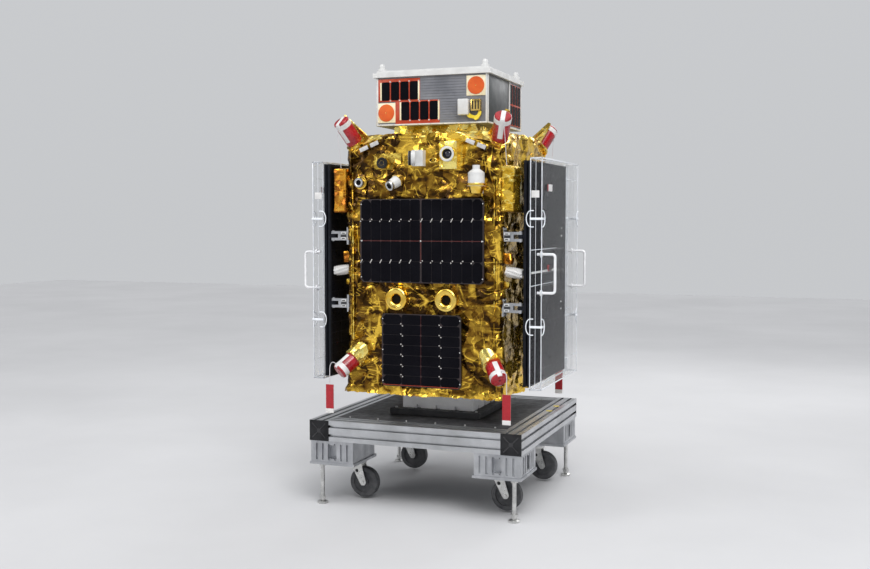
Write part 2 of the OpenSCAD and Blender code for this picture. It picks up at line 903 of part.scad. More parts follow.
// A clear box, open towards the panel, with an inward rim and two inner ribs
module cover_shell() {
    y0 = wing_y - cover_d / 2;
    y1 = wing_y + cover_d / 2;
    z0 = wing_z - cover_h / 2;
    z1 = wing_z + cover_h / 2;
    difference() {
        box([cover_x, y0, z0], [cover_out_x, y1, z1]);
        box([cover_x + rim_t, y0 + cover_wall, z0 + cover_wall],
            [cover_out_x - cover_wall, y1 - cover_wall, z1 - cover_wall]);
        box([cover_x - 1, y0 + rim_w, z0 + rim_w], [cover_x + rim_t + 1, y1 - rim_w, z1 - rim_w]);
        for (y = handle_ys) {
            for (side = [-1, 1]) {
                translate([cover_out_x - cover_wall - 1, y, handle_z + side * (handle_h - handle_bar_d) / 2])
                    rotate([0, 90, 0]) cylinder(d = handle_bar_d + 2 * run_fit, h = cover_wall + 2);
            }
        }
    }
}

// A bent bar with a collar inside the cover at each of its two studs
module cover_handle(y) {
    half = (handle_h - handle_bar_d) / 2;
    bend = 12;
    grip_x = cover_out_x + handle_out - handle_bar_d / 2;
    collar_d = 24;
    collar_t = 5;
    translate([0, y, handle_z]) {
        for (side = [-1, 1]) {
            translate([cover_out_x - cover_wall - handle_in, 0, side * half]) rotate([0, 90, 0])
                cylinder(d = handle_bar_d, h = grip_x - bend - (cover_out_x - cover_wall - handle_in) + eps);
            translate([cover_out_x - cover_wall - collar_t, 0, side * half]) rotate([0, 90, 0])
                cylinder(d = collar_d, h = collar_t);
            translate([grip_x - bend, 0, side * (half - bend)]) rotate([90, 0, 0])
                rotate_extrude(angle = side * 90) translate([bend, 0]) circle(d = handle_bar_d);
        }
        translate([grip_x, 0, -half + bend - eps]) cylinder(d = handle_bar_d, h = 2 * (half - bend + eps));
    }
}

module cover_handles() {
    for (y = handle_ys) cover_handle(y);
}

module right_cover_shell() { color([0.85, 0.92, 1, 0.35]) cover_shell(); }
module left_cover_shell() { color([0.85, 0.92, 1, 0.35]) mirror([1, 0, 0]) cover_shell(); }
module right_cover_handles() { color("#e8e8e8") cover_handles(); }
module left_cover_handles() { color("#e8e8e8") mirror([1, 0, 0]) cover_handles(); }

// ---------------------------------------------------------------- lanyards and tags

// Corners of one cross-section of a cord at point p, with the cord running along d
function cord_ring(p, d, r, sides) =
    let (n = d / norm(d), a = abs(n.z) > 0.9 ? [1, 0, 0] : [0, 0, 1],
        u = cross(n, a) / norm(cross(n, a)), v = cross(n, u))
    [for (k = [0 : sides - 1]) p + r * (cos(360 * k / sides) * u + sin(360 * k / sides) * v)];

module cord(points, d, sides = 8) {
    last = len(points) - 1;
    rings = [for (i = [0 : last])
        each cord_ring(points[i], points[min(last, i + 1)] - points[max(0, i - 1)], d / 2, sides)];
    walls = [for (i = [0 : last - 1]) for (k = [0 : sides - 1])
        [i * sides + k, i * sides + (k + 1) % sides, (i + 1) * sides + (k + 1) % sides, (i + 1) * sides + k]];
    start = [for (k = [sides - 1 : -1 : 0]) k];
    end = [for (k = [0 : sides - 1]) last * sides + k];
    polyhedron(rings, concat(walls, [start, end]));
}

module lanyard(left, rear) {
    color("#d0d0d0") flip_x(left) flip_y(rear) cord(lanyard_path, lanyard_d);
}

module front_left_lanyard() { lanyard(true, false); }
module front_right_lanyard() { lanyard(false, false); }
module rear_left_lanyard() { lanyard(true, true); }
module rear_right_lanyard() { lanyard(false, true); }

module tag(left, rear) {
    color("firebrick") flip_x(left) flip_y(rear) translate(tag_top)
        box([-tag_w / 2, -tag_t / 2, -tag_l], [tag_w / 2, tag_t / 2, 0]);
}

module front_left_tag() { tag(true, false); }
module front_right_tag() { tag(false, false); }
module rear_left_tag() { tag(true, true); }
module rear_right_tag() { tag(false, true); }

// Taut strings from the upper caps' lower rims to the flank boxes' tops
module upper_lanyards() {
    rim_back = 12;
    down = up_axis * (up_axis.z / norm(up_axis)) - [0, 0, 1];
    out = down / norm(down) * (thruster_cap_d / 2 + slip);
    top = up_base + up_axis * (cap_seat + thruster_cap_l - rim_back) + out;
    foot = [top.x, flank_front - 5, flank_z[1]];
    color("#d0d0d0") each_corner() {
        difference() {
            translate(foot) along(top - foot) translate([0, 0, -5]) cylinder(d = string_d, h = norm(top - foot) + 3.5, $fn = 16);
            box([0, 0, flank_z[0]], [flank_out, flank_front, flank_z[1]]);
        }
    }
}

// ---------------------------------------------------------------- nodes

side_rails();
end_rails();
rail_end_caps();
deck_plate();
cross_rails();
caster_brackets();
levelling_feet();
front_left_caster_fork();
front_right_caster_fork();
rear_left_caster_fork();
rear_right_caster_fork();
front_left_caster_wheel();
front_right_caster_wheel();
rear_left_caster_wheel();
rear_right_caster_wheel();
adapter_base_plate();
separation_adapter();
bus_structure();
front_blanket();
rear_blanket();
left_blanket();
right_blanket();
top_blanket();
upper_front_solar_panel();
lower_front_solar_panel();
aperture_rings();
tracker_camera();
service_port();
front_sensors();
stub_antenna();
upper_thruster_brackets();
lower_thruster_brackets();
upper_thruster_caps();
lower_thruster_caps();
flank_boxes();
harness_wraps();
wing_root_brackets();
docking_pedestal();
upper_module_body();
upper_module_lid();
upper_module_cells();
upper_module_fittings();
right_wing_inner_panel();
right_wing_outer_panel();
right_cover_shell();
right_cover_handles();
left_wing_inner_panel();
left_wing_outer_panel();
left_cover_shell();
left_cover_handles();
upper_lanyards();
front_left_lanyard();
front_right_lanyard();
rear_left_lanyard();
rear_right_lanyard();
front_left_tag();
front_right_tag();
rear_left_tag();
rear_right_tag();
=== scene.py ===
"""Looks for a foil-wrapped satellite on its ground trolley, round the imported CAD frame.

Lengths are in metres.
"""

import math

import bmesh
import bpy
from mathutils import Matrix, Vector, noise


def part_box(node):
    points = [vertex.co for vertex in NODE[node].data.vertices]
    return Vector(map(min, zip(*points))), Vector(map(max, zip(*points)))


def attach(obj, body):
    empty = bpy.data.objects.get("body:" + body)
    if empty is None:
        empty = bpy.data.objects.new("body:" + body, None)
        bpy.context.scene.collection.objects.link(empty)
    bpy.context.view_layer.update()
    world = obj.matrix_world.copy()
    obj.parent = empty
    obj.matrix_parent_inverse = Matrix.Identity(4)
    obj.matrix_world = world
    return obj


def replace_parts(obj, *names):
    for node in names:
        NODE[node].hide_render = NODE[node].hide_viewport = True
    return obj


noise.seed_set(11)  # noise_vector takes its offset from the clock without it
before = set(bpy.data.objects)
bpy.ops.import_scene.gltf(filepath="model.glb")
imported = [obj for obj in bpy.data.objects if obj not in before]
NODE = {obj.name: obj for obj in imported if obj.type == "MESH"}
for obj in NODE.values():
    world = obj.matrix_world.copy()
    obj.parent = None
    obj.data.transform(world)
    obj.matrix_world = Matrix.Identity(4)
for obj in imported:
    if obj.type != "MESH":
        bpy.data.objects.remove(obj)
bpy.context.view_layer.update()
ROOT = "satellite_and_trolley"
SIDES = {"right": 1, "left": -1}
CORNERS = [(sx, sy) for sx in (1, -1) for sy in (-1, 1)]
SKIN = 0.315  # outer face of the side and front blankets
BUS_LOW, BUS_TOP = 0.440, 1.445


def mirror(sx=1, sy=1):
    return Matrix.Diagonal((sx, sy, 1, 1))


def aimed(origin, axis, side=(0, 0, 1)):
    """A frame at origin whose Z runs along axis and whose X leans towards side."""
    z = Vector(axis).normalized()
    x = Vector(side) - Vector(side).dot(z) * z
    if x.length < 1e-4:
        x = Vector((1, 0, 0)) - z.x * z
    x.normalize()
    turn = Matrix((x, z.cross(x), z)).transposed().to_4x4()
    return Matrix.Translation(origin) @ turn


# ---------------------------------------------------------------- camera and cords


def add_camera():
    data = bpy.data.cameras.new("main_camera")
    data.sensor_width, data.lens = 36.0, 44.8
    cam = bpy.data.objects.new("main_camera", data)
    cam.location = (1.513, -4.180, 1.118)
    cam.rotation_euler = (math.radians(90 - 3.46), 0, math.radians(20.72))
    bpy.context.collection.objects.link(cam)
    bpy.context.scene.camera = cam


add_camera()


class Shade:
    """A procedural material: one Principled shader and the nodes that feed it."""

    def __init__(self, name, rough=0.5, metal=0.0, **constants):
        self.mat = bpy.data.materials.new(name)
        self.mat.use_nodes = True
        self.tree = self.mat.node_tree
        self.tree.nodes.clear()
        out = self.tree.nodes.new("ShaderNodeOutputMaterial")
        self.bsdf = self.tree.nodes.new("ShaderNodeBsdfPrincipled")
        self.link(self.bsdf.outputs[0], out.inputs[0])
        self.bsdf.inputs["Roughness"].default_value = rough
        self.bsdf.inputs["Metallic"].default_value = metal
        for key, value in constants.items():
            self.bsdf.inputs[key.replace("_", " ")].default_value = value
        self.place = self.tree.nodes.new("ShaderNodeTexCoord").outputs["Object"]
        self.height = None

    def link(self, a, b):
        self.tree.links.new(a, b)

    def stretched(self, stretch):
        if stretch == (1, 1, 1):
            return self.place
        node = self.tree.nodes.new("ShaderNodeMapping")
        node.inputs["Scale"].default_value = stretch
        self.link(self.place, node.inputs["Vector"])
        return node.outputs["Vector"]

    def noise(self, scale, detail=4.0, stretch=(1, 1, 1), distortion=0.0, rough=0.55):
        node = self.tree.nodes.new("ShaderNodeTexNoise")
        for key, value in (("Scale", scale), ("Detail", detail), ("Distortion", distortion),
                           ("Roughness", rough)):
            node.inputs[key].default_value = value
        self.link(self.stretched(stretch), node.inputs["Vector"])
        return node.outputs["Fac"]

    def warped(self, amount, scale):
        """The object's coordinates, pushed about by a soft noise."""
        node = self.tree.nodes.new("ShaderNodeTexNoise")
        node.inputs["Scale"].default_value = scale
        self.link(self.place, node.inputs["Vector"])
        return self.vector("MULTIPLY_ADD", node.outputs["Color"], (amount,) * 3, self.place)

    def vector(self, op, *values):
        node = self.tree.nodes.new("ShaderNodeVectorMath")
        node.operation = op
        for i, value in enumerate(values):
            if isinstance(value, tuple):
                node.inputs[i].default_value = value
            else:
                self.link(value, node.inputs[i])
        return node.outputs["Value" if op == "DOT_PRODUCT" else "Vector"]

    def facets(self, where, scale, stretch):
        """The height of flat facets with a random tilt each, and a random shade for each."""
        where = self.vector("MULTIPLY", where, stretch)
        node = self.tree.nodes.new("ShaderNodeTexVoronoi")
        node.inputs["Scale"].default_value = scale
        self.link(where, node.inputs["Vector"])
        tilt = self.vector("SUBTRACT", node.outputs["Color"], (0.5, 0.5, 0.5))
        off = self.vector("SUBTRACT", where, node.outputs["Position"])
        split = self.tree.nodes.new("ShaderNodeSeparateColor")
        self.link(node.outputs["Color"], split.inputs[0])
        return self.vector("DOT_PRODUCT", tilt, off), split.outputs[2]

    def painted_crease_highlights(self, scale, stretch):
        """Thin winding lines of painted highlight along creases, where a soft noise crosses its middle value,
        broken up by another.
        """
        size = self.sum(self.sum(self.noise(scale, 2, stretch, 0.9), -0.5), 0.0, "ABSOLUTE")
        line = self.grey(size, (0.0, 1.0), (0.010, 0.6), (0.020, 0.0))
        return self.sum(line, self.grey(self.noise(scale * 1.7, 2), (0.45, 0.0), (0.6, 1.0)), "MULTIPLY")

    def wave(self, scale, axis="Z", stretch=(1, 1, 1), distortion=0.0):
        node = self.tree.nodes.new("ShaderNodeTexWave")
        node.bands_direction = axis
        node.inputs["Scale"].default_value = scale
        node.inputs["Distortion"].default_value = distortion
        self.link(self.stretched(stretch), node.inputs["Vector"])
        return node.outputs["Fac"]

    def axis(self, letter):
        node = self.tree.nodes.new("ShaderNodeSeparateXYZ")
        self.link(self.place, node.inputs[0])
        return node.outputs[letter]

    def sum(self, a, b, op="ADD", clamp=False):
        node = self.tree.nodes.new("ShaderNodeMath")
        node.operation, node.use_clamp = op, clamp
        for i, value in enumerate((a, b)):
            if isinstance(value, (int, float)):
                node.inputs[i].default_value = value
            else:
                self.link(value, node.inputs[i])
        return node.outputs[0]

    def ramp(self, fac, *stops):
        node = self.tree.nodes.new("ShaderNodeValToRGB")
        marks = node.color_ramp.elements
        while len(marks) < len(stops):
            marks.new(0.5)
        for mark, (at, colour) in zip(marks, stops):
            mark.position, mark.color = at, (*colour, 1)
        self.link(fac, node.inputs[0])
        return node.outputs[0]

    def grey(self, fac, *stops):
        return self.ramp(fac, *[(at, (v, v, v)) for at, v in stops])

    def colour(self, socket):
        self.link(socket, self.bsdf.inputs["Base Color"])
        return self

    def rough(self, socket):
        self.link(socket, self.bsdf.inputs["Roughness"])
        return self

    def bump(self, height, distance, strength=1.0):
        node = self.tree.nodes.new("ShaderNodeBump")
        node.inputs["Distance"].default_value = distance
        node.inputs["Strength"].default_value = strength
        self.link(height, node.inputs["Height"])
        if self.height:
            self.link(self.height, node.inputs["Normal"])
        self.height = node.outputs[0]
        self.link(self.height, self.bsdf.inputs["Normal"])
        return self


def worn(name, low, high, rough, metal=0.0, scale=18, grain=900, depth=0.00004, stretch=(1, 1, 1),
         spread=0.1, **constants):
    """A painted, moulded or machined surface: two close colours, uneven gloss and a fine grain."""
    s = Shade(name, rough, metal, **constants)
    cloud = s.noise(scale, 5)
    s.colour(s.ramp(cloud, (0.35, low), (0.65, high)))
    s.rough(s.grey(s.noise(scale * 3.3, 6, stretch), (0.3, rough - spread), (0.7, rough + spread)))
    return s.bump(s.noise(grain, 3, stretch), depth).mat


FOIL_METAL = 0.84  # a little diffuse light keeps the folds warm where they mirror something dark


def foil_material(name, dark, mid, bright, rough=0.2, low=0.40, high=0.78, glint=True):
    """Crumpled metallised film: flat tilted facets with sharp edges, each its own shade of gold, brightened and
    darkened by a painted glint and painted crease highlights.
    """
    s = Shade(name, rough, FOIL_METAL)
    warp = s.warped(0.020, 9)
    big, big_shade = s.facets(warp, 13, (1.0, 1.0, 0.55))
    small, small_shade = s.facets(warp, 38, (0.8, 0.8, 1.0))
    # the painted glint stored on the points: painted light and shade from the foil's tilt
    if glint:
        node = s.tree.nodes.new("ShaderNodeAttribute")
        node.attribute_name = "glint"
        base = node.outputs["Fac"]
    else:
        base = s.sum(0.5, 0.0)
    mix = s.sum(base, s.sum(s.sum(big_shade, -0.5), 0.24, "MULTIPLY"))
    mix = s.sum(mix, s.sum(s.sum(small_shade, -0.5), 0.20, "MULTIPLY"))
    # bright winding crease lines: painted highlights
    for scale, stretch in ((6.5, (1.0, 1.0, 0.35)), (8.0, (0.45, 0.45, 1.2)), (15.0, (1.0, 1.0, 0.8)),
                           (17.0, (0.35, 0.35, 1.3))):
        mix = s.sum(mix, s.sum(s.painted_crease_highlights(scale, stretch), 0.55, "MULTIPLY"))
    half = tuple(0.60 * a + 0.40 * b for a, b in zip(mid, bright))
    # the ramp paints the mix as light and shade: dark gold is painted shade, bright gold is painted highlight
    s.colour(s.ramp(mix, (low - 0.12, dark), (low, mid), (0.5 * (low + high), half), (high, bright)))
    s.rough(s.grey(s.noise(60, 4), (0.3, rough - 0.08), (0.75, rough + 0.12)))
    s.bump(big, 0.60)
    s.bump(small, 0.50)
    return s.bump(s.noise(240, 3), 0.0003, 0.5).mat


CELL_BLACK, CELL_LINE = (0.0022, 0.0022, 0.004), (0.022, 0.020, 0.020)
FINGER_PITCH = 0.0016


def striped(name, base, line, axis, pitch, rough=0.22, spec=0.03):
    """A solar cell: near black under its cover glass, with fine metal fingers across it."""
    s = Shade(name, rough, 0.0, Specular_IOR_Level=spec)
    fingers = s.grey(s.wave(1 / (pitch * math.pi), axis), (0.86, 0.0), (1.0, 0.55))
    cloud = s.ramp(s.noise(9, 3), (0.3, base), (0.75, tuple(c * 1.7 + 0.002 for c in base)))
    mix = s.tree.nodes.new("ShaderNodeMix")
    mix.data_type = "RGBA"
    s.link(fingers, mix.inputs["Factor"])
    s.link(cloud, mix.inputs["A"])
    mix.inputs["B"].default_value = (*line, 1)
    s.colour(mix.outputs["Result"])
    s.rough(s.grey(s.noise(50, 3), (0.3, rough - 0.06), (0.7, rough + 0.10)))
    return s.bump(s.noise(300, 2), 0.00002, 0.4).mat


def clear_material(name, tint, alpha, rough):
    """Clear sheet plastic with faint smears and rubbed streaks."""
    s = Shade(name, rough, 0.0, Transmission_Weight=1.0, IOR=1.22, Alpha=alpha)
    s.colour(s.ramp(s.noise(4, 3), (0.3, tint), (0.7, (1, 1, 1))))
    s.rough(s.grey(s.noise(14, 6, (1, 1, 3)), (0.45, rough), (0.8, rough + 0.12)))
    return s.bump(s.noise(160, 2), 0.00002, 0.3).mat


TAG_WHITE_TOP = 0.377


def tag_material():
    """Red woven ribbon whose lowest part is white, by its height on the object."""
    s = Shade("tag_ribbon", 0.75, 0.0, Sheen_Weight=0.3)
    weave = s.wave(420, "Z")
    cloth = s.ramp(s.sum(weave, s.noise(70, 4), "MULTIPLY"), (0.1, (0.32, 0.004, 0.010)),
                   (0.6, (0.56, 0.010, 0.026)))
    mix = s.tree.nodes.new("ShaderNodeMix")
    mix.data_type = "RGBA"
    s.link(s.sum(s.axis("Z"), TAG_WHITE_TOP, "LESS_THAN"), mix.inputs["Factor"])
    s.link(cloth, mix.inputs["A"])
    mix.inputs["B"].default_value = (0.82, 0.80, 0.78, 1)
    s.colour(mix.outputs["Result"])
    return s.bump(s.wave(500, "X"), 0.0002, 0.5).bump(weave, 0.0002, 0.5).mat


def make_materials():
    m = {}
    m["rail"] = worn("rail_aluminium", (0.48, 0.49, 0.50), (0.64, 0.65, 0.67), 0.34, 1.0, 9, 700, 0.00005,
                     (0.03, 0.03, 1))
    m["plate"] = worn("black_plate", (0.018, 0.018, 0.020), (0.045, 0.045, 0.048), 0.5, 0.0, 12, 1400,
                      0.00008)
    m["cap"] = worn("cap_plastic", (0.010, 0.010, 0.011), (0.024, 0.024, 0.026), 0.45, 0.0, 20, 900,
                    0.00006, Specular_IOR_Level=0.2)
    m["bracket"] = worn("bracket_aluminium", (0.40, 0.41, 0.43), (0.58, 0.59, 0.61), 0.42, 1.0, 14, 500,
                        0.00008, (1, 1, 0.1))
    m["zinc"] = worn("zinc_steel", (0.50, 0.50, 0.49), (0.72, 0.72, 0.70), 0.33, 1.0, 40, 600, 0.00005)
    m["wheel"] = worn("wheel_polyurethane", (0.035, 0.036, 0.040), (0.085, 0.086, 0.09), 0.55, 0.0, 30, 500,
                      0.0001)
    m["adapter"] = worn("adapter_white", (0.86, 0.86, 0.87), (0.95, 0.95, 0.96), 0.45, 0.0, 10, 900,
                        0.00005)
    m["structure"] = worn("structure", (0.30, 0.26, 0.20), (0.45, 0.40, 0.30), 0.5, 0.6, 8, 500)
    m["foil_node"] = foil_material("foil_fitting", (0.10, 0.055, 0.006), (0.45, 0.27, 0.03),
                                   (1.0, 0.74, 0.14), 0.2, 0.42, 0.78, False)
    m["amber_node"] = foil_material("amber_fitting", (0.35, 0.19, 0.014), (0.88, 0.54, 0.04),
                                    (1.0, 0.84, 0.26), 0.2, 0.36, 0.70, False)
    m["foil"] = foil_material("gold_foil", (0.040, 0.018, 0.002), (0.160, 0.072, 0.005), (1.0, 0.64, 0.075),
                              0.20, 0.40, 0.90)
    m["amber"] = foil_material("amber_foil", (0.30, 0.16, 0.012), (0.86, 0.52, 0.035), (1.0, 0.84, 0.26),
                               0.2, 0.34, 0.74)
    m["orange"] = foil_material("orange_foil", (0.30, 0.10, 0.010), (0.78, 0.33, 0.025), (1.0, 0.62, 0.09),
                                0.25, 0.36, 0.80)
    m["cell"] = striped("solar_cells", CELL_BLACK, CELL_LINE, "X", FINGER_PITCH)
    m["cell_side"] = striped("solar_cells_side", CELL_BLACK, CELL_LINE, "Z", FINGER_PITCH)
    m["wing_cell"] = striped("wing_cells", CELL_BLACK, CELL_LINE, "Z", FINGER_PITCH, 0.3, 0.02)
    m["cell_red"] = worn("cell_backing", (0.055, 0.005, 0.004), (0.11, 0.012, 0.008), 0.4, 0.0, 30, 500)
    m["panel_edge"] = worn("panel_substrate", (0.010, 0.007, 0.008), (0.026, 0.014, 0.015), 0.5, 0.0, 22,
                           700)
    m["frame_red"] = worn("cell_frame", (0.38, 0.030, 0.006), (0.56, 0.065, 0.012), 0.45, 0.0, 25, 700)
    m["contact"] = worn("cell_contacts", (0.60, 0.58, 0.54), (0.82, 0.80, 0.76), 0.3, 0.7, 60, 800)
    m["gold"] = worn("gold_metal", (0.62, 0.40, 0.08), (0.90, 0.64, 0.20), 0.24, 1.0, 30, 500)
    m["white"] = worn("white_paint", (0.60, 0.60, 0.59), (0.72, 0.72, 0.71), 0.42, 0.0, 22, 900)
    m["red"] = worn("cap_red", (0.24, 0.002, 0.006), (0.46, 0.004, 0.012), 0.3, 0.0, 25, 400, 0.00006,
                    Coat_Weight=0.35, Coat_Roughness=0.15)
    m["dark"] = worn("dark_glass", (0.004, 0.005, 0.010), (0.012, 0.014, 0.035), 0.12, 0.0, 20, 200,
                     0.00001, Coat_Weight=1.0)
    # near black for the bottoms of shallow holes: painted shade for their depth
    m["hole"] = worn("dark_hole", (0.004, 0.003, 0.002), (0.010, 0.007, 0.004), 0.6, 0.0, 30, 300,
                     Specular_IOR_Level=0.1)
    m["steel"] = worn("steel", (0.45, 0.45, 0.45), (0.70, 0.70, 0.70), 0.28, 1.0, 50, 500)
    m["grey"] = worn("module_grey", (0.15, 0.155, 0.175), (0.24, 0.245, 0.265), 0.42, 0.2, 10, 600, 0.00005,
                     (1, 1, 0.1))
    m["side_grey"] = worn("module_side", (0.030, 0.033, 0.036), (0.060, 0.066, 0.068), 0.45, 0.2, 6, 700,
                          0.00006)
    m["orange_patch"] = worn("patch_orange", (0.60, 0.075, 0.006), (0.76, 0.15, 0.016), 0.4, 0.0, 12, 900)
    m["cream"] = worn("patch_cream", (0.78, 0.68, 0.44), (0.90, 0.82, 0.60), 0.45, 0.0, 16, 900)
    m["wing"] = worn("wing_substrate", (0.010, 0.011, 0.014), (0.016, 0.017, 0.022), 0.5, 0.0, 46, 700,
                     0.0001, Specular_IOR_Level=0.05)
    m["clear"] = clear_material("clear_acrylic", (0.90, 0.94, 1.0), 0.13, 0.03)
    m["edge"] = worn("acrylic_edge", (0.80, 0.84, 0.90), (0.95, 0.97, 1.0), 0.25, 0.0, 60, 500, 0.00008,
                     (1, 1, 0.2), 0.1, Coat_Weight=0.6)
    m["handle"] = worn("handle_white", (0.80, 0.80, 0.82), (0.92, 0.92, 0.93), 0.28, 0.0, 30, 600)
    m["cord"] = worn("cord_grey", (0.52, 0.50, 0.52), (0.74, 0.72, 0.74), 0.7, 0.0, 500, 900, 0.0003)
    m["tag"] = tag_material()
    m["tape"] = worn("tape_white", (0.66, 0.65, 0.64), (0.80, 0.79, 0.78), 0.45, 0.0, 30, 260, 0.0002)
    m["gold_rim"] = worn("gold_rim", (0.85, 0.50, 0.05), (1.0, 0.74, 0.18), 0.2, 1.0, 24, 400, 0.00004)
    m["label"] = worn("label_grey", (0.42, 0.41, 0.40), (0.62, 0.61, 0.60), 0.4, 0.0, 40, 500)
    m["yellow"] = worn("mark_yellow", (0.80, 0.60, 0.02), (0.92, 0.74, 0.08), 0.4, 0.0, 40, 500)
    return m


M = make_materials()

NODE_MATERIALS = {
    "side_rails": "rail", "end_rails": "rail", "cross_rails": "rail", "rail_end_caps": "cap",
    "deck_plate": "plate", "caster_brackets": "bracket", "levelling_feet": "zinc",
    "adapter_base_plate": "plate", "separation_adapter": "adapter", "bus_structure": "structure",
    "upper_front_solar_panel": "panel_edge", "lower_front_solar_panel": "panel_edge",
    "aperture_rings": "gold_rim", "tracker_camera": "amber_node", "service_port": "foil_node",
    "front_sensors": "white",
    "stub_antenna": "white", "upper_thruster_brackets": "amber_node",
    "lower_thruster_brackets": "amber_node",
    "upper_thruster_caps": "red", "lower_thruster_caps": "red", "harness_wraps": "tape",
    "wing_root_brackets": "bracket", "docking_pedestal": "amber_node", "upper_module_body": "grey",
    "upper_module_lid": "white", "upper_module_cells": "cell_red", "upper_module_fittings": "white",
}


def dress_nodes():
    """Every CAD node that stays gets its material in all its slots."""
    for name, obj in NODE.items():
        key = NODE_MATERIALS.get(name)
        for ending, found in (
            ("fork", "zinc"), ("wheel", "wheel"), ("inner_panel", "wing"), ("outer_panel", "wing"),
            ("cover_shell", "clear"), ("cover_handles", "handle"), ("tag", "tag"),
        ):
            if name.endswith(ending):
                key = found
        if key is None:
            key = "structure"
        for slot in obj.material_slots:
            slot.material = M[key]
        if not obj.material_slots:
            obj.data.materials.append(M[key])


dress_nodes()


def cord_curve(name, points, radius, mat):
    data = bpy.data.curves.new(name, "CURVE")
    data.dimensions, data.bevel_depth, data.bevel_resolution = "3D", radius, 3
    data.use_fill_caps = True
    spline = data.splines.new("POLY")
    spline.points.add(len(points) - 1)
    for at, p in zip(spline.points, points):
        at.co = (*p, 1)
    data.materials.append(mat)
    obj = bpy.data.objects.new(name, data)
    bpy.context.collection.objects.link(obj)
    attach(obj, ROOT)
    return obj


LANYARD = [
    (0.337, -0.383, 0.551), (0.339, -0.385, 0.555), (0.342, -0.387, 0.558), (0.346, -0.389, 0.560),
    (0.351, -0.390, 0.559), (0.355, -0.390, 0.555), (0.358, -0.390, 0.549), (0.360, -0.390, 0.541),
    (0.361, -0.390, 0.532), (0.361, -0.390, 0.520), (0.361, -0.390, 0.508), (0.361, -0.390, 0.496),
    (0.361, -0.390, 0.484), (0.361, -0.390, 0.472),
]
LANYARD_D, STRING_D = 0.003, 0.0024
UP_BASE, UP_AXIS = Vector((0.295, 0.276, 1.410)), Vector((0.30, 0.58, 0.757))
LOW_END, LOW_AXIS = Vector((0.329, 0.373, 0.520)), Vector((0.51, 0.61, -0.605))
CAP_R, CAP_L, CAP_SEAT = 0.032, 0.104, 0.014
FLANK_FRONT, FLANK_TOP = 0.330, 1.317


def add_cords():
    for end, sy in (("front", 1), ("rear", -1)):
        for side, sx in SIDES.items():
            name = f"{end}_{side}"
            points = [(sx * x, sy * y, z) for x, y, z in LANYARD]
            cord = cord_curve(f"{name}_pull_cord", points, LANYARD_D / 2, M["cord"])
            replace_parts(cord, f"{name}_lanyard")
            down = UP_AXIS * (UP_AXIS.z / UP_AXIS.length) - Vector((0, 0, 1))
            out = down.normalized() * (CAP_R + 0.0012)
            top = UP_BASE + UP_AXIS.normalized() * (CAP_SEAT + CAP_L - 0.012) + out
            foot = Vector((top.x, FLANK_FRONT - 0.005, FLANK_TOP))
            ends = [top.lerp(foot, i / 14) for i in range(15)]
            taut = [(sx * p.x, -sy * p.y, p.z) for p in ends]
            string = cord_curve(f"{name}_cap_string", taut, STRING_D / 2, M["cord"])
            if name == "front_right":
                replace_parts(string, "upper_lanyards")


add_cords()

# ---------------------------------------------------------------- shape helpers


